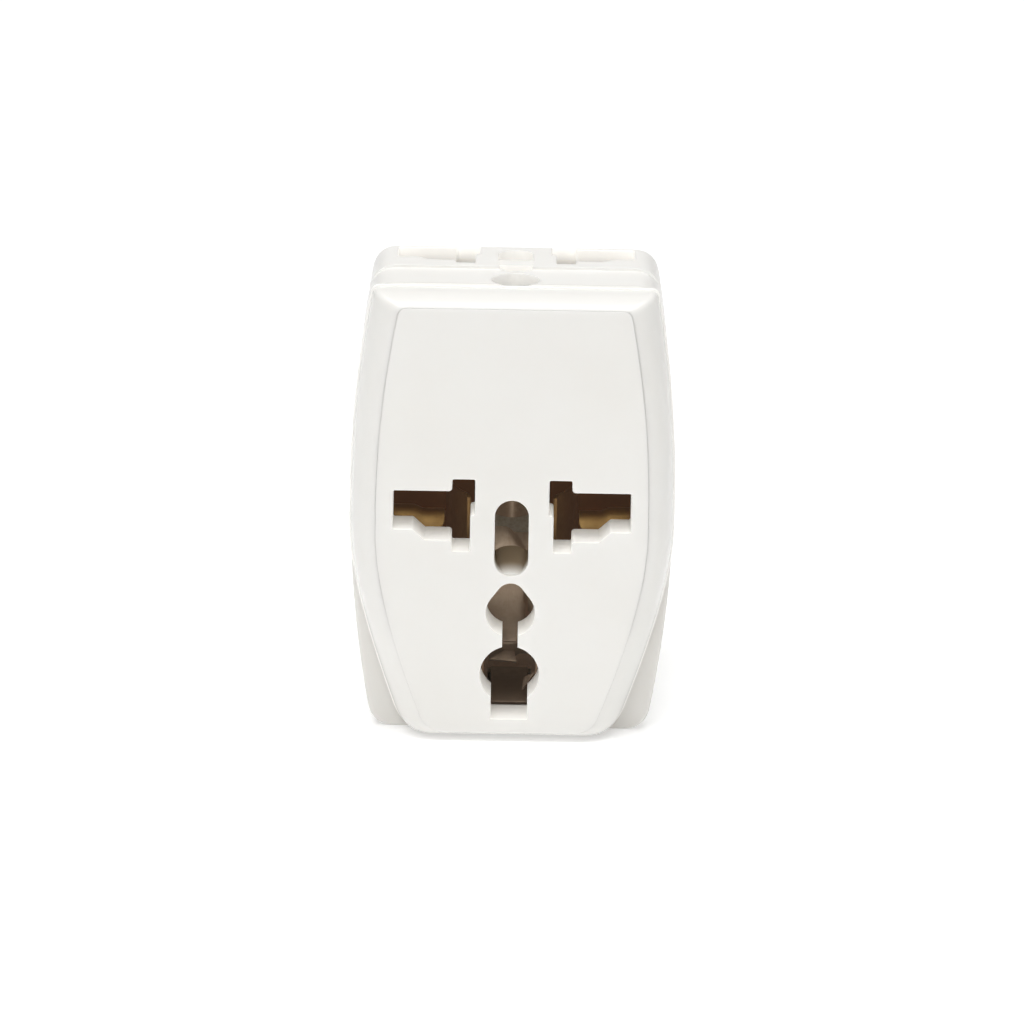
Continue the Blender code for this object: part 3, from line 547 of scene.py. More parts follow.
def moulded_white(name, grain=0.3, gloss=0.4, tone=1.0, wave=0.12, painted_shade=None, painted_glow=None,
                  shade_colour=(0.17, 0.13, 0.09)):
    """Opaque white plastic: warm cloudiness, a fine moulded grain and handling marks.

    Two depth arguments paint light: one darkens it by depth towards its shade colour, painted
    shade, and the other adds a painted glow by depth; both are what Finish.depth() takes.
    tone gives lighter and darker copies of the white for how light falls on each moulding:
    painted light and shade. The defaults are those of the walls inside the outlets.
    """
    finish = Finish(name, IOR=1.49, Subsurface_Weight=0.5, Subsurface_Scale=0.8 * MM,
                    Subsurface_Radius=(0.95, 0.98, 1.0))
    cloud = finish.noise(14 * MM, detail=3)
    white = tuple(tone * c for c in (0.875, 0.865, 0.835))
    warm = tuple(tone * c for c in (0.858, 0.845, 0.81))
    colour = finish.tint(cloud, (0.3, warm), (0.7, white))
    if painted_shade:
        colour = finish.paint_shade(colour, shade_colour, painted_shade)
    finish.drive("Base Color", colour)
    if painted_glow:
        finish.paint_glow((1.0, 0.98, 0.94), painted_glow)
    smudge = finish.noise(4 * MM, detail=3)
    finish.drive("Roughness", finish.spread(smudge, gloss, gloss + 0.03))
    finish.bump(finish.noise(0.22 * MM, detail=2), grain, 0.012 * MM)
    finish.bump(finish.noise(5 * MM, detail=1), wave, 0.05 * MM)
    return finish.material


def pressed_metal(name, bright, dull, rough, along, patch=0.55, painted_shade=None, glow=None,
                  shade_colour=(0.2, 0.085, 0.04), hue=(1.0, 0.6, 0.38)):
    """Rolled and pressed sheet: drawing lines along it, tarnish in patches, fine scratches.

    One depth argument darkens it towards its shade colour, painted shade deep in its outlet,
    and glow is a painted glow standing in for the faint brown light that goes round in there;
    both are what Finish.depth() takes.
    """
    finish = Finish(name, Metallic=1.0)
    stretch = tuple(0.08 if axis in along else 1.0 for axis in "XYZ")
    lines = finish.noise(0.12 * MM, detail=3, stretch=stretch)
    tarnish = finish.noise(2.6 * MM, detail=5, rough=0.62)
    mid = tuple((a + b) / 2 for a, b in zip(bright, dull))
    patches = finish.tint(tarnish, (0.35, dull), (patch, mid), (0.75, bright))
    drawn = finish.tint(lines, (0.3, mid), (0.7, bright))
    fine = finish.noise(0.5 * MM, detail=4)
    colour = finish.mix(finish.spread(fine, 0.15, 0.5), patches, drawn)
    if painted_shade:
        colour = finish.paint_shade(colour, shade_colour, painted_shade)
    if glow:
        finish.paint_glow(hue, glow)
    finish.drive("Base Color", colour)
    finish.drive("Roughness", finish.spread(tarnish, rough + 0.16, rough))
    finish.bump(lines, 0.22, 0.01 * MM)
    finish.bump(finish.noise(1.6 * MM, detail=2), 0.25, 0.03 * MM)
    return finish.material


def insulator(name):
    """Ivory thermoset board with a fine speckle and a dull moulded skin."""
    finish = Finish(name, IOR=1.52)
    speckle = finish.noise(0.35 * MM, detail=4, rough=0.7)
    finish.drive("Base Color", finish.tint(speckle, (0.35, (0.5, 0.47, 0.38)),
                                           (0.6, (0.62, 0.6, 0.52))))
    finish.drive("Roughness", finish.spread(speckle, 0.5, 0.66))
    finish.bump(finish.noise(0.6 * MM, detail=3), 0.3, 0.02 * MM)
    return finish.material


def plated_screw(name):
    """Zinc plating: cloudy grey with a faint warm passivation and tool marks."""
    finish = Finish(name, Metallic=1.0)
    cloud = finish.noise(1.4 * MM, detail=4, rough=0.6)
    finish.drive("Base Color", finish.tint(
        cloud, (0.3, (0.5, 0.5, 0.47)), (0.5, (0.62, 0.63, 0.64)), (0.72, (0.7, 0.68, 0.62))))
    finish.drive("Roughness", finish.spread(cloud, 0.44, 0.26))
    finish.bump(finish.noise(0.18 * MM, detail=3), 0.3, 0.01 * MM)
    return finish.material


# The tones below are lighter and darker copies of one white plastic for how light falls on each
# moulding: painted light and shade.
FINE_GRAIN = moulded_white("plate_white", grain=0.5, gloss=0.34, tone=0.985)
# Walls inside the front holes: a painted glow, brighter near the rim and dimmer deeper in.
FRONT_WALLS = moulded_white("front_wall_white", painted_glow=(
    "Y", FACE_Y + 1 * MM, FACE_Y + GUIDE_DEPTH + 1.5 * MM, 0.2, 0.08))
# Ramp inside the obround: painted shade, darker towards the back.
GUIDE_RAMP = moulded_white("guide_ramp_white", shade_colour=(0.24, 0.18, 0.115), painted_shade=(
    "Y", FACE_Y - 0.2 * MM, FACE_Y + 3.2 * MM, 0.0, 1.0))
# Frame: a painted glow lights the lip at the join, and its lower tone is painted shade for the
# borders.
SATIN = moulded_white("frame_white", grain=0.05, gloss=0.24, tone=0.975, wave=0.04, painted_glow=(
    "Y", JOIN_Y - 0.75 * MM, JOIN_Y - 0.5 * MM, 0.0, 0.12))
# Rear body: a lighter copy of the white, painted light for its top, and painted darker at its
# front edge, the shade of the shell on the wings.
HOUSING = moulded_white("housing_white", grain=0.05, gloss=0.3, tone=1.03, wave=0.03, painted_shade=(
    "Y", JOIN_Y + 0.5 * MM, JOIN_Y + 1.2 * MM, 0.17, 0.0))
# Walls inside the top holes: a lighter copy of the white with a painted glow that is brightest
# near the rim.
TOP_WALLS = moulded_white("top_wall_white", tone=1.03, painted_glow=(
    "Z", TOP_Z - 2.6 * MM, TOP_Z - 0.6 * MM, 0.0, 0.38))
TOP_ROUND_WALLS = moulded_white("top_round_wall_white", tone=1.03, painted_glow=(
    "Z", TOP_Z - 3.8 * MM, TOP_Z - 1.0 * MM, 0.02, 0.26))
PLUG_WHITE = moulded_white("plug_white", grain=0.45, gloss=0.33, tone=0.985)
BRASS = pressed_metal("contact_brass", (0.78, 0.53, 0.2), (0.4, 0.22, 0.075), 0.2, "XY")
# Front live contacts: a darker copy of the brass, painted shade, painted darker still deep in,
# with a faint painted brown glow that grows with depth.
FRONT_BRASS = pressed_metal(
    "front_contact_brass", (0.32, 0.205, 0.075), (0.2, 0.115, 0.042), 0.34, "XY",
    painted_shade=("Y", FACE_Y + 9.5 * MM, FACE_Y + 12.5 * MM, 0.0, 0.85),
    glow=("Y", FACE_Y, FACE_Y + 9.5 * MM, 0.0, 0.026))
# Top live contacts: a lighter copy of the brass, painted light, painted darker deep down, with a
# faint painted brown glow that grows with depth.
TOP_BRASS = pressed_metal(
    "top_contact_brass", (0.9, 0.68, 0.3), (0.56, 0.36, 0.14), 0.32, "XY",
    painted_shade=("Z", TOP_Z - 12.5 * MM, TOP_Z - 9.5 * MM, 0.85, 0.0),
    glow=("Z", TOP_Z - 9.5 * MM, TOP_Z, 0.026, 0.0))
# Upright leaf of the front live contacts: a darker, redder copy of the brass that dims its lit
# edge, painted shade, painted darker with depth, with a faint painted glow.
BLADE_BRASS = pressed_metal(
    "blade_leaf_brass", (0.34, 0.22, 0.09), (0.22, 0.13, 0.05), 0.42, "XZ",
    painted_shade=("Y", FACE_Y + 8.0 * MM, FACE_Y + 12.5 * MM, 0.1, 0.8),
    glow=("Y", FACE_Y, FACE_Y + 9.5 * MM, 0.0, 0.03))
NICKEL = pressed_metal("contact_nickel", (0.62, 0.53, 0.43), (0.38, 0.28, 0.2), 0.3, "YZ")
# Slightly darker copy of the nickel colours for the contacts down in the front outlet: painted
# shade.
DARKER_NICKEL = ((0.6, 0.5, 0.4), (0.36, 0.26, 0.18))
PAINTED_GLOW_GREY = (1.0, 0.78, 0.58)
# Front earth contact: painted darker low down, the shade in the keyhole's neck and below, with a
# faint painted warm grey glow that grows upwards.
FRONT_NICKEL = pressed_metal(
    "front_contact_nickel", *DARKER_NICKEL, 0.32, "YZ", hue=PAINTED_GLOW_GREY,
    painted_shade=("Z", 12.0 * MM, 18.0 * MM, 0.55, 0.05), glow=("Z", 22.0 * MM, 26.0 * MM, 0.026, 0.04))
# Its faces in the keyhole: painted dark below the upper hole and lit by a painted glow in the
# upper hole.
KEYHOLE_NICKEL = pressed_metal(
    "keyhole_contact_nickel", *DARKER_NICKEL, 0.36, "YZ", hue=PAINTED_GLOW_GREY,
    painted_shade=("Z", 13.0 * MM, 17.5 * MM, 0.88, 0.0), glow=("Z", 14.5 * MM, 18.0 * MM, 0.02, 0.18),
    shade_colour=(0.13, 0.095, 0.07))
PIN_METAL = pressed_metal("pin_nickel", (0.84, 0.82, 0.78), (0.62, 0.59, 0.53), 0.14, "XZ", 0.45)
CLIP_METAL = pressed_metal("clip_nickel", (0.82, 0.8, 0.76), (0.6, 0.56, 0.5), 0.18, "Y", 0.45)
IVORY = insulator("insulator_ivory")
ZINC = plated_screw("screw_zinc")


def finish_piece(obj, material, slot, *nodes):
    """Smooth a new piece, give it its material, and let it stand for its CAD node."""
    obj.data.materials.clear()
    obj.data.materials.append(material)
    obj.data.shade_smooth()
    obj.data.set_sharp_from_angle(angle=math.radians(38))
    normals = obj.modifiers.new("normals", "WEIGHTED_NORMAL")
    normals.keep_sharp = True
    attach(obj, "root")
    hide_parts(*nodes)
    return obj


def line_walls(obj, material, x, y, z, axis):
    """Give a second material to the faces in a region that do not look along the axis."""
    if material.name not in obj.data.materials:
        obj.data.materials.append(material)
    index = obj.data.materials.find(material.name)
    ranges = (x, (JOIN_Y + y[0], JOIN_Y + y[1]), z)
    along = "XYZ".index(axis)
    for face in obj.data.polygons:
        inside = all(low < value < high for value, (low, high) in zip(face.center, ranges))
        if inside and abs(face.normal[along]) < 0.6:
            face.material_index = index


# ---------------------------------------------------------------- mouldings
def lip_sections():
    """The proud lip at the join, with both of its edges rounded."""
    sections = []
    for start, way in ((0.0, 1), (-LIP_DEPTH, -1)):
        side = []
        for angle in quarter(4):
            proud = LIP - LIP_EDGE * (1 - math.sin(angle))
            y = start - way * LIP_EDGE * (1 - math.cos(angle))
            side.append((y, shell_outline(-proud, -proud)))
        sections += side if way == 1 else side[::-1]
    return sections


def front_frame():
    """Shield-shaped frame: the lip, then a border that rolls over to the face plate."""
    sections = lip_sections()
    roll_end = math.radians(70)
    roll_start = -LIP_DEPTH - 0.03 * MM
    roll_steps = 20
    for i in range(roll_steps + 1):
        angle = roll_end * i / roll_steps
        inset = (1 - math.cos(angle)) / (1 - math.cos(roll_end))
        y = roll_start - (SHELL_DEPTH + roll_start) * math.sin(angle) / math.sin(roll_end)
        sections.append((y, shell_outline(BORDER_SIDE * inset, BORDER_TOP * inset,
                                          BORDER_BOTTOM * inset)))
    shell = loft("front_frame", sections)
    hollow = shell_outline(*SHELL_HOLLOW)
    cut(shell,
        prism("cavity", hollow, -2.6 * MM, 1 * MM),
        prism("window", plate_outline(-0.5 * MM), -4.6 * MM, -2.0 * MM),
        prism("seat", plate_outline(SEAT_GROW), FACE - 1 * MM,
              FACE + PLATE_THICKNESS + GAP))
    skirt = prism("skirt", shell_outline(*SKIRT), -1.0 * MM, 2.0 * MM)
    cut(skirt, prism("skirt_inside", hollow, -2.0 * MM, 3.0 * MM))
    join(shell, skirt)
    for side in (-1, 1):
        centre = (side * CASE_SCREW[0], CASE_SCREW[1])
        join(shell, prism("boss", circle(FRONT_BOSS, centre, 44), -3.45 * MM, 1.8 * MM))
        cut(shell, shank_hole("pilot", centre, -2.5 * MM, 2.5 * MM))
    return finish_piece(shell, SATIN, "white_shell", "front_shell")


def arched(foot, high):
    """Outline of the ramp inside the obround, with a crowned top."""
    half = OBROUND_RADIUS + 0.2 * MM
    shoulder = max(high - 1.0 * MM, foot + 0.1 * MM)
    crown = bezier([(half, shoulder), (0.6 * half, high + 0.45 * MM),
                    (-0.6 * half, high + 0.45 * MM), (-half, shoulder)], 16)
    return [(-half, foot), (half, foot)] + crown


def outlet_plate():
    """Flat plate of the front outlet; its holes have rounded rims and guide walls behind."""
    back = FACE + GUIDE_DEPTH
    inner = FACE + PLATE_THICKNESS
    flange = plate_outline(SEAT_GROW - 0.02 * MM)
    sections = [(inner, flange), (FACE + SEAM_DEPTH, flange),
                (FACE + SEAM_DEPTH - SEAM_STEP, plate_outline(PLATE_GROW))]
    for angle in quarter(3):
        sections.append((FACE + PLATE_EDGE * (1 - math.sin(angle)),
                         plate_outline(PLATE_GROW - PLATE_EDGE * (1 - math.cos(angle)))))
    plate = loft("outlet_plate", sections)
    line = FRONT_LINE_Z
    holes = (live_slot(line), mirrored(live_slot(line)), obround(line), keyhole(line))
    for outline in holes:
        join(plate, prism("guide", grown(outline, GUIDE_WALL), inner - 0.5 * MM, back))
    for outline, smooth in zip(holes, (True, True, False, False)):
        drawn = rounded(outline) if smooth else outline
        drawn = grown(drawn, -HOLE_SHRINK)
        cut(plate, flared("hole", drawn, FACE, 1, GUIDE_DEPTH + 1 * MM))
    foot = line - OBROUND_DOWN - 0.3 * MM
    join(plate, loft("obround_ramp", [(y, arched(foot, high)) for y, high in (
        (FACE + 0.7 * MM, line - OBROUND_DOWN + 0.1 * MM), (back, line - RAMP_DOWN))]))
    finish_piece(plate, FINE_GRAIN, "white_shell", "front_face_plate")
    # The hole walls take the material with painted glow and the obround's ramp the one with
    # painted shade.
    depths = (FACE + 0.5 * HOLE_EDGE, back + 1 * MM)
    line_walls(plate, FRONT_WALLS, span(FLAT_OUTER + 0.1 * MM), depths,
               (line - SLOT_DOWN - 0.1 * MM, line + BLADE_HALF + 0.1 * MM), "Y")
    line_walls(plate, GUIDE_RAMP, span(OBROUND_RADIUS + 0.1 * MM), depths,
               (line - OBROUND_DOWN - 0.2 * MM, line - 4.5 * MM), "Y")
    return plate


def housing_sections():
    """Outline of the rear body from its front edge back over the ramp to its round end."""
    sections = []
    for angle in quarter(5):
        inset = WING_EDGE * (1 - math.sin(angle))
        sections.append((GAP + WING_EDGE * (1 - math.cos(angle)),
                         body_outline(inset, FRONT_ZONE_TOP - inset, inset)))
    ramp_steps = 10
    for i in range(ramp_steps + 1):
        t = i / ramp_steps
        top = FRONT_ZONE_TOP + (TOP_Z - FRONT_ZONE_TOP) * t * t * (3 - 2 * t)
        sections.append((RAMP_START + (RAMP_END - RAMP_START) * t, body_outline(0.0, top)))
    for angle in quarter(14):
        inset = REAR_ROUND * (1 - math.cos(angle))
        y = BODY_DEPTH - REAR_ROUND * (1 - math.sin(angle))
        into = max(0.0, y - (BODY_DEPTH - REAR_ROUND_BOTTOM))
        lift = REAR_ROUND_BOTTOM - math.sqrt(REAR_ROUND_BOTTOM ** 2 - into ** 2)
        sections.append((y, body_outline(inset, TOP_Z - inset, lift)))
    return sections


def housing():
    """Barrel-shaped rear body with the top outlet, open to the front shell and the plug."""
    body = loft("housing", housing_sections())
    cut(body, loft("hollow", [
        (2.0 * MM, body_outline(WALL, FRONT_ZONE_TOP - WALL, WALL)),
        (BODY_DEPTH - REAR_WALL - 1.2 * MM, body_outline(WALL, FRONT_ZONE_TOP - WALL, WALL)),
        (BODY_DEPTH - REAR_WALL, body_outline(WALL + 1.2 * MM, FRONT_ZONE_TOP - WALL - 1.2 * MM,
                                              WALL + 0.6 * MM))]))
    cut(body, prism("mouth", shell_outline(*SKIRT_MOUTH), -1.0 * MM, 3.0 * MM))

    guide_low = TOP_Z - GUIDE_DEPTH
    guide_high = FRONT_ZONE_TOP - WALL + 0.4 * MM
    line = TOP_LINE_Y
    slots = (live_slot(line), mirrored(live_slot(line)))
    for outline in slots + (obround(line),):
        join(body, prism("guide", grown(outline, GUIDE_WALL), guide_low, guide_high, "Z"))
    for side in (-1, 1):
        join(body, prism("boss", circle(REAR_BOSS, (side * CASE_SCREW[0], CASE_SCREW[1]), 48),
                         2.3 * MM, BODY_DEPTH - 0.5 * MM))
    bulb = both_sides(earth_bulb(line, -70, TOP_EARTH_BIG))
    for outline in slots:
        cut(body, flared("hole", rounded(outline), TOP_Z, -1, GUIDE_DEPTH + 1 * MM, "Z"))
    for outline in (obround(line), bulb):
        cut(body, prism("hole", outline, guide_low - 1 * MM, TOP_Z + 1 * MM, "Z"))
    join(body, block("obround_rib", span(2.6 * MM), (10.6 * MM, 13.6 * MM),
                     (guide_low + 2 * MM, TOP_Z - 0.35 * MM)))

    rear = (BODY_DEPTH - 3 * MM, BODY_DEPTH + 1 * MM)
    cut(body, block("live_window", span(13.0 * MM), rear, span(3.5 * MM, PLUG_Z)))
    cut(body, block("earth_window", span(2.8 * MM), rear, span(15.0 * MM, PLUG_Z)))
    for side in (-1, 1):
        centre = (side * CASE_SCREW[0], CASE_SCREW[1])
        cut(body, shank_hole("case_hole", centre, 0, rear[1]))
        cut(body, flared("case_head_hole", circle(HEAD_RADIUS + GAP, centre, 64), BODY_DEPTH, -1,
                         HEAD_DEPTH))
        centre = (side * PLUG_SCREW[0], PLUG_SCREW[1])
        cut(body, shank_hole("plug_hole", centre, *rear))
    finish_piece(body, HOUSING, "white_shell", "rear_body")
    live = span(BLADE_HALF + 0.2 * MM, line)
    between = line - OBROUND_DOWN + 0.3 * MM
    # The walls inside the top holes take the materials with painted glow.
    for material, half, depths in (
            (TOP_WALLS, FLAT_OUTER + 0.2 * MM, live),
            (TOP_ROUND_WALLS, OBROUND_RADIUS + 0.05 * MM, (between, live[1])),
            (TOP_ROUND_WALLS, 3.2 * MM, (GAP, between))):
        line_walls(body, material, span(half), depths, (guide_low, TOP_Z), "Z")
    return body


def plug_moulding():
    """Round hollow plug with a rounded rim, side keyways, clip grooves and pin holes.

    A thin spigot at its foot fills the gap to the rear body.
    """
    start = BODY_DEPTH + GAP
    rim = 1.2 * MM
    foot = 0.35 * MM
    spigot = PLUG_RADIUS - 0.8 * MM
    profile = [(spigot, BODY_DEPTH + 0.02 * MM), (spigot, start),
               (PLUG_RADIUS - foot, start), (PLUG_RADIUS - 0.1 * MM, start + 0.1 * MM),
               (PLUG_RADIUS, start + foot)]
    for angle in quarter(8):
        profile.append((PLUG_RADIUS - rim * (1 - math.cos(angle)),
                        PLUG_END - rim * (1 - math.sin(angle))))
    base = turned("plug_moulding", profile, (0, PLUG_Z), 160)
    cut(base, prism("hollow", circle(PLUG_RADIUS - PLUG_WALL, (0, PLUG_Z)), start - 1 * MM,
                    PLUG_END - PLUG_FACE))
    for side in (-1, 1):
        centre = (side * PLUG_SCREW[0], PLUG_SCREW[1])
        join(base, prism("boss", circle(PLUG_BOSS, centre, 48), start + 0.1 * MM,
                         PLUG_END - 1 * MM))
        cut(base, shank_hole("pilot", centre, start - 1 * MM, start + 8 * MM))
        edge = PLUG_RADIUS * side
        join(base,
             block("key_floor", sorted((edge - side * 4.6 * MM, edge - side * 0.9 * MM)),
                   (start + 2 * MM, PLUG_END - 1 * MM), span(3.4 * MM, PLUG_Z)),
             block("clip_floor", span(4.0 * MM), (start + 0.1 * MM, PLUG_END - 1 * MM),
                   sorted((PLUG_Z + side * 13.7 * MM, PLUG_Z + side * 17.0 * MM))))
        cut(base,
            block("keyway", sorted((edge - side * 1.9 * MM, edge + side * 1 * MM)),
                  (start + 4 * MM, PLUG_END + 1 * MM), span(2.2 * MM, PLUG_Z)),
            block("clip_groove", span(CLIP_HALF + 2 * GAP),
                  (start + 1.4 * MM, PLUG_END + 1 * MM),
                  sorted((PLUG_Z + side * 15.6 * MM, PLUG_Z + side * 20.0 * MM))),
            block("clip_slit", span(CLIP_HALF + GAP), (start + 1.8 * MM, start + 3.2 * MM),
                  sorted((PLUG_Z + side * 12.0 * MM, PLUG_Z + side * 16.5 * MM))))
        cut(base, flared("pin_hole", circle(PIN_RADIUS + 0.12 * MM, (side * PIN_X, PLUG_Z), 64),
                         PLUG_END, -1, PLUG_FACE + 1 * MM))
    cut(base, flared("earth_hole", circle(2.9 * MM, (0, PLUG_Z + EARTH_HOLE_OFFSET), 64), PLUG_END,
                     -1, PLUG_FACE + 1 * MM, edge=0.5 * MM))
    return finish_piece(base, PLUG_WHITE, "white_shell", "plug_base")


# ---------------------------------------------------------------- contacts
def front_place(u, v, w):
    return Vector((u, FACE_Y + w, FRONT_LINE_Z + v))


def top_place(u, v, w):
    return Vector((u, JOIN_Y + TOP_LINE_Y + v, TOP_Z - w))


def ease(value, low, high):
    """0 below low, 1 above high, smooth between."""
    t = min(max((value - low) / (high - low), 0.0), 1.0)
    return t * t * (3 - 2 * t)


def from_mouth(*points):
    """Path points (along, w) from millimetres, w counted from the contacts' mouth."""
    return [(along * MM, MOUTH + w * MM) for along, w in points]


def straight(a, along, w):
    """The surface whose across is u and whose along is v."""
    return a, along, w


def leaf(name, place, across, path, surface=straight, nose=0.0, steps=22):
    """Sheet along a path of (along, w) points; surface turns (across, along, w) into u, v, w.

    nose rounds the corner where the path and across both start.
    """
    grid = []
    for i in range(steps + 1):
        a = across[0] + (across[1] - across[0]) * i / steps
        inside = abs(a - across[0])
        missing = 0.0
        if inside < nose:
            missing = nose - math.sqrt(nose ** 2 - (nose - inside) ** 2)
        grid.append([place(*surface(a, along, w)) for along, w in trim_start(path, missing)])
    return sheet_metal(name, grid)


def trim_start(path, length):
    """Resample a path after taking a length off its start; it keeps its number of points."""
    runs = [0.0]
    for (a, b), (c, d) in zip(path, path[1:]):
        runs.append(runs[-1] + math.hypot(c - a, d - b))
    result = []
    for run in runs:
        wanted = length + (runs[-1] - length) * run / runs[-1]
        k = max(i for i in range(len(runs) - 1) if runs[i] <= wanted)
        t = min((wanted - runs[k]) / (runs[k + 1] - runs[k]), 1.0)
        result.append((path[k][0] + (path[k + 1][0] - path[k][0]) * t,
                       path[k][1] + (path[k + 1][1] - path[k][1]) * t))
    return result


def live_springs(name, place, side, back):
    """Jaws, upright leaf and back web of a live contact."""
    step = 0.5 * MM

    def flat(a, along, w):
        rise = step * ease(a, 11.2 * MM, 12.7 * MM) * (1 - ease(w, MOUTH + 3 * MM, back))
        return side * a, along + rise, w

    def upright(a, along, w):
        return side * along, a, w

    low_path = bezier(from_mouth((-3.9, 0), (-3.0, 0.2), (-1.6, 0.8), (-0.6, 1.8), (-2.0, 3.4),
                              (-4.4, 6)) + [(-4.8 * MM, back)], 24)
    high_path = bezier(from_mouth((4.9, 0), (4.0, 0.9), (2.4, 1.6), (2.6, 3.2), (3.4, 6))
                       + [(3.9 * MM, back)], 20)
    blade_path = bezier(from_mouth((5.5, 1.4), (5.4, 2.0), (6.0, 3.0), (7.3, 4.2), (7.9, 5.8))
                        + [(8.3 * MM, back)], 20)
    width = (8.6 * MM, 15.3 * MM)
    lower = leaf(name, place, width, low_path, flat, nose=1.2 * MM)
    upper = leaf("upper_jaw", place, width, high_path, flat, nose=1.2 * MM)
    blade = leaf("blade_leaf", place, (0.4 * MM, -6.6 * MM), blade_path, upright, nose=0.8 * MM)
    web = leaf("web", place, (side * 4.9 * MM, side * 15.3 * MM),
               [(-7.0 * MM, back), (4.2 * MM, back)])
    return join(lower, upper, blade, web)


def live_tail(side, y, z):
    return block("tail", sorted((side * 7.7 * MM, side * 11.4 * MM)), y, z, 0.1 * MM)


def front_live_contact(name, node, side):
    contact = live_springs(name, front_place, side, FRONT_BACK)
    join(contact, live_tail(side, (12.6 * MM, 18.4 * MM), (29.4 * MM, 30.0 * MM)))
    finish_piece(contact, FRONT_BRASS, "contact_brass", node)
    # The upright leaf takes the darker brass copy: painted shade.
    line_walls(contact, BLADE_BRASS, sorted((side * 4.5 * MM, side * 8.3 * MM)),
               (0.0, FRONT_BACK - SHELL_DEPTH - SHEET), (23.0 * MM, 31.0 * MM), "Z")
    return contact


def top_live_contact(name, node, side):
    contact = live_springs(name, top_place, side, TOP_BACK)
    join(contact, live_tail(side, (18.4 * MM, 19.0 * MM), (40.6 * MM, 42.6 * MM)))
    return finish_piece(contact, TOP_BRASS, "contact_brass", node)


def earth_channel(name, place, low, high, back):
    """Side leaves and back plate of an earth contact between two v values."""
    def upright(a, along, w):
        return along, a, w

    sides = []
    for side in (-1, 1):
        path = bezier(from_mouth((side * 3.6, 0), (side * 3.2, 1.5), (side * 2.8, 4),
                                 (side * 3.2, 8)) + [(side * 3.3 * MM, back)], 18)
        sides.append(leaf("side_leaf", place, (high, low), path, upright, nose=1.0 * MM))
    plate = leaf(name, place, span(3.4 * MM), [(low, back), (high, back)], steps=12)
    return join(plate, *sides)


def gusset(place, points, thickness=SHEET):
    """Small folded corner of sheet between three (u, v, w) points, as from_mouth() has them."""
    first, second, third = [(u * MM, *from_mouth((v, w))[0]) for u, v, w in points]
    rows = []
    for i in range(5):
        t = i / 4
        start = [a + (b - a) * t for a, b in zip(first, second)]
        end = [a + (b - a) * t for a, b in zip(first, third)]
        if i == 0:
            end = [a + 0.05 * (b - a) for a, b in zip(first, third)]
        rows.append([place(*(a + (b - a) * k / 4 for a, b in zip(start, end))) for k in range(5)])
    return sheet_metal("gusset", rows, thickness)


def ramp(place, ends, twist, half=2.7 * MM, skew=0.0, fold=0.1 * MM):
    """Folded lead-in ramp across the channel between two points, as from_mouth() has them.

    It leans over to one side: the fold lies at fold across the near end and moves over by
    skew towards the far end.
    """
    start, end = from_mouth(*ends)

    def folded(a, along, w):
        way = (w - start[1]) / (end[1] - start[1])
        away = ease(a + skew * way, fold, fold + 1.2 * MM)
        return a, along - twist * away * (0.3 + 0.7 * way), w + 0.4 * twist * away

    middle = ((start[0] + end[0]) / 2 + 0.2 * MM, (start[1] + end[1]) / 2)
    return leaf("ramp", place, span(half), bezier([start, middle, end], 12), folded)


def front_earth_contact():
    """Nickel channel behind the obround and the keyhole, with folded lead-ins."""
    contact = earth_channel("front_earth_spring", front_place, -25.8 * MM, 1.4 * MM, FRONT_BACK)
    bead = prism("bead", bezier([(-3.3 * MM, 12.7 * MM), (-1.5 * MM, 11.8 * MM),
                                 (0.0, 7.6 * MM), (1.5 * MM, 11.8 * MM),
                                 (3.3 * MM, 12.7 * MM)], 32), 22.0 * MM, 31.2 * MM, "Z")
    floor = leaf("floor", front_place, span(2.4 * MM),
                 bezier(from_mouth((-26.9, 0), (-26.3, 1), (-24.4, 3), (-24.9, 6))
                        + [(-25.6 * MM, FRONT_BACK)], 18))
    join(contact, bead, floor,
         ramp(front_place, ((-6.8, 0.2), (-4.1, 2.8)), 0.9 * MM, skew=1.9 * MM, fold=1.0 * MM),
         gusset(front_place, ((-2.6, -21.2, 0.3), (0.4, -19.7, 1.9), (0.9, -21.5, 0.4))),
         gusset(front_place, ((1.7, -25.2, 0.3), (1.9, -23.6, 0.9), (3.5, -22.6, 0.3)), 0.3 * MM),
         ramp(front_place, ((-18.7, 0.1), (-10.3, 6.5)), 1.0 * MM, half=3.3 * MM,
              skew=1.2 * MM, fold=1.9 * MM),
         ramp(front_place, ((-18.7, 0.1), (-21.6, 2.6)), -0.9 * MM),
         block("tail", span(2.0 * MM), (12.6 * MM, 18.0 * MM), (17.7 * MM, 18.3 * MM), 0.1 * MM))
    cut(contact, block("window", span(2.9 * MM), (9.8 * MM, 13.6 * MM), (22.0 * MM, 25.3 * MM)))
    finish_piece(contact, FRONT_NICKEL, "earth_nickel", "front_earth_contact")
    # The faces in the keyhole take the nickel with painted shade low down and a painted glow in
    # the upper hole.
    line_walls(contact, KEYHOLE_NICKEL, span(3.4 * MM), (0.0, 11.0 * MM),
               (2.0 * MM, 20.5 * MM), "X")
    return contact


def top_earth_contact():
    """Nickel channel below the obround and the round hole of the top outlet."""
    contact = earth_channel("top_earth_spring", top_place, -12.3 * MM, 2.0 * MM, TOP_BACK)
    join(contact,
         ramp(top_place, ((-6.8, 0.2), (-4.2, 2.6)), 0.9 * MM),
         block("tail", span(2.0 * MM), (17.0 * MM, 19.0 * MM), (42.2 * MM, 42.8 * MM)),
         block("drop", span(2.0 * MM), (18.4 * MM, 19.0 * MM), (40.6 * MM, 42.5 * MM)))
    return finish_piece(contact, NICKEL, "earth_nickel", "top_earth_contact")


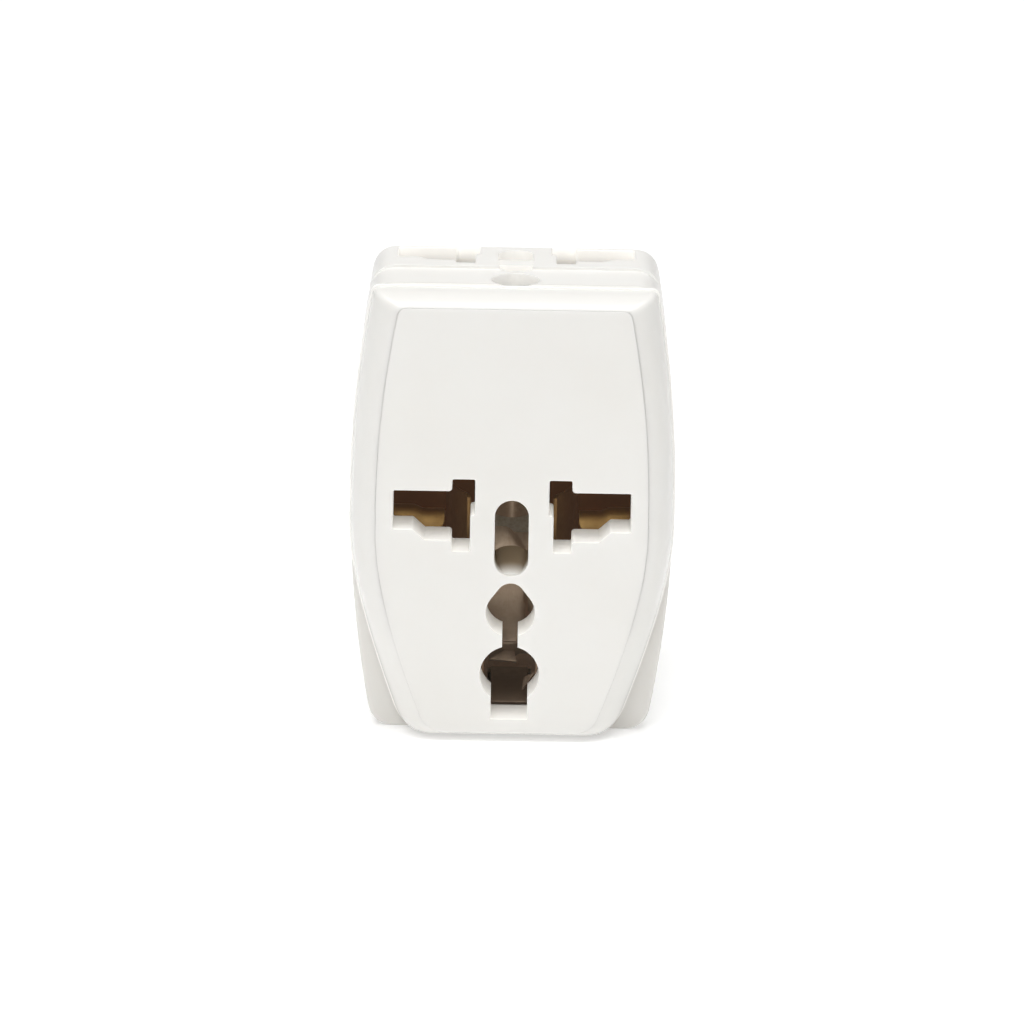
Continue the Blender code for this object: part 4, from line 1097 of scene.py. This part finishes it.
# ---------------------------------------------------------------- plug metalwork
def plug_pin(name, node, side):
    """Round pin with a domed tip, a shoulder inside the plug and a thinner shank."""
    shoulder = PLUG_END - PLUG_FACE - GAP
    dome = 2.9 * MM
    profile = [(1.5 * MM, 19.8 * MM), (1.5 * MM, shoulder - 1.6 * MM),
               (3.6 * MM, shoulder - 1.6 * MM), (3.6 * MM, shoulder), (PIN_RADIUS, shoulder)]
    for angle in quarter(14)[:-1]:
        profile.append((PIN_RADIUS * math.cos(angle) ** 0.8,
                        PIN_END - dome * (1 - math.sin(angle))))
    profile.append((0.15 * MM, PIN_END))
    pin = turned(name, profile, (side * PIN_X, PLUG_Z), 72)
    return finish_piece(pin, PIN_METAL, "pin_nickel", node)


def earth_clip(name, node, side):
    """Sprung side earth strip in its groove, folded in at the rim and at its root."""
    start = BODY_DEPTH + GAP + 2.5 * MM
    rim = PLUG_END - 0.9 * MM
    path = bezier([(start, 13.5 * MM), (start, 15.2 * MM), (start + 0.1 * MM, 16.7 * MM)], 5)
    path += bezier([(start + 0.4 * MM, 17.0 * MM), (start + 2.6 * MM, 17.5 * MM),
                    (start + 8.0 * MM, 18.1 * MM), (rim - 2.6 * MM, 17.5 * MM),
                    (rim - 0.4 * MM, 17.2 * MM), (rim, 16.3 * MM)], 18)

    def bowed(a, along, w):
        return Vector((a, JOIN_Y + along, PLUG_Z + side * (w - 14 * a * a)))

    across = [CLIP_HALF * (2 * i / 10 - 1) for i in range(11)]
    rows = [[bowed(a, along, w) for along, w in path] for a in across]
    return finish_piece(sheet_metal(name, rows, 0.65 * MM), CLIP_METAL, "pin_nickel", node)


def screw(name, node, centre, head_y, length, way):
    """Pan head cross-recess screw along Y; way is the direction of its shank."""
    head = 1.5 * MM
    profile = [(0.2 * MM, head_y - way * head)]
    for angle in quarter(8)[1:]:
        profile.append((HEAD_RADIUS * math.sin(angle) ** 0.75,
                        head_y - way * (0.35 * MM + (head - 0.35 * MM) * math.cos(angle))))
    profile += [(HEAD_RADIUS, head_y), (SCREW_RADIUS, head_y),
                (SCREW_RADIUS, head_y + way * (length - 1 * MM)),
                (0.4 * MM, head_y + way * length)]
    made = turned(name, profile, centre, 48)
    x, z = centre
    deep = sorted((head_y - way * 0.55 * MM, head_y - way * 2 * MM))
    for half_x, half_z in ((1.45 * MM, 0.3 * MM), (0.3 * MM, 1.45 * MM)):
        cut(made, block("cross", span(half_x, x), deep, span(half_z, z)))
    return finish_piece(made, ZINC, "screw_zinc", node)


def inner_parts():
    """CAD nodes that stay as they are get their own materials."""
    finishes = {
        "front_contact_carrier": IVORY, "top_contact_carrier": IVORY,
        "line_busbar": BRASS, "neutral_busbar": BRASS,
        "earth_strap": NICKEL, "earth_bridge": NICKEL, "earth_tube": NICKEL,
    }
    for node, material in finishes.items():
        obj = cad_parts[node]
        for slot in obj.material_slots:
            slot.material = material
        add_bevel(obj, 0.12 * MM, 40)


# ---------------------------------------------------------------- studio
WORLD_LIGHT = 0.325
SIDE_LIGHT = 0.08
OVERHEAD_WATTS = 11.0
KEY_WATTS = 2.15
FILL_WATTS = 1.07
FLOOR_GLOW = 0.25


def floor():
    """Plain pale table that runs on past the view."""
    shape = bmesh.new()
    bmesh.ops.create_grid(shape, x_segments=8, y_segments=8, size=4.0)
    obj = link_mesh("studio_floor", shape)
    finish = Finish("studio_white", Roughness=0.9, Specular_IOR_Level=0.0,
                    Emission_Color=(1, 1, 1, 1), Emission_Strength=FLOOR_GLOW)
    cloud = finish.noise(0.4, detail=2)
    finish.drive("Base Color", finish.tint(cloud, (0.3, (0.93, 0.93, 0.93)),
                                           (0.7, (0.94, 0.94, 0.94))))
    obj.data.materials.append(finish.material)


def aimed(name, data, place, way, lean=0.0):
    """Link a lamp or a camera that looks along way, turned by lean about it."""
    obj = bpy.data.objects.new(name, data)
    obj.location = place
    obj.rotation_mode = "QUATERNION"
    obj.rotation_quaternion = way.to_track_quat("-Z", "Y") @ Quaternion((0, 0, 1), lean)
    bpy.context.scene.collection.objects.link(obj)
    return obj


def soft_light(name, place, size, power):
    data = bpy.data.lights.new(name, "AREA")
    data.shape = "RECTANGLE"
    data.size, data.size_y = size
    data.energy = power
    aimed(name, data, place, Vector((0, 0, 0.03)) - Vector(place))


def studio():
    """White surroundings, dimmer at both sides, a broad overhead softbox and two in front."""
    world = bpy.data.worlds.new("studio")
    world.use_nodes = True
    nodes = Nodes(world.node_tree)
    background = nodes.tree.nodes["Background"]
    background.inputs["Color"].default_value = (1.0, 0.995, 0.985, 1)
    around = nodes.node("ShaderNodeTexCoord").outputs["Generated"]
    sideways = nodes.tree.nodes.new("ShaderNodeMath")
    sideways.operation = "ABSOLUTE"
    nodes.feed(sideways.inputs[0], nodes.node("ShaderNodeSeparateXYZ", Vector=around).outputs["X"])
    nodes.feed(background.inputs["Strength"], nodes.spread(
        sideways.outputs[0], WORLD_LIGHT, SIDE_LIGHT, 0.2, 0.9, "SMOOTHSTEP"))
    bpy.context.scene.world = world
    bpy.context.scene.view_settings.view_transform = "Standard"
    soft_light("overhead_softbox", (0.0, -0.1, 1.1), (1.0, 0.9), OVERHEAD_WATTS)
    soft_light("key_softbox", (-0.3, -0.72, 0.98), (0.55, 0.45), KEY_WATTS)
    soft_light("fill_softbox", (-0.15, -1.1, 0.62), (0.7, 0.5), FILL_WATTS)


def camera():
    """Long lens in front, a little above the object and leaning slightly."""
    elevation = math.radians(15.7)
    lean = math.radians(0.95)
    distance = 850 * MM
    target = Vector((0, FACE_Y, 30.6 * MM))
    back = Vector((0, -math.cos(elevation), math.sin(elevation)))
    data = bpy.data.cameras.new("camera")
    data.lens = 236.0
    data.clip_start = 0.05
    data.clip_end = 20.0
    bpy.context.scene.camera = aimed("camera", data, target + back * distance, -back, lean)


def build():
    camera()
    front_frame()
    outlet_plate()
    housing()
    plug_moulding()
    for label, side in (("line", 1), ("neutral", -1)):
        front_live_contact("front_" + label + "_spring", "front_" + label + "_contact", side)
        top_live_contact("top_" + label + "_spring", "top_" + label + "_contact", side)
        plug_pin(label + "_plug_pin", label + "_pin", side)
    front_earth_contact()
    top_earth_contact()
    for label, side in (("upper", 1), ("lower", -1)):
        earth_clip(label + "_clip_spring", label + "_earth_clip", side)
    for label, side in (("left", -1), ("right", 1)):
        screw("case_fixing_" + label, "case_screw_" + label,
              (side * CASE_SCREW[0], CASE_SCREW[1]), BODY_DEPTH - HEAD_DEPTH + GAP, 19.0 * MM, -1)
        screw("plug_fixing_" + label, "plug_screw_" + label,
              (side * PLUG_SCREW[0], PLUG_SCREW[1]), BODY_DEPTH - REAR_WALL - GAP, 8.0 * MM, 1)
    inner_parts()
    floor()
    studio()


build()
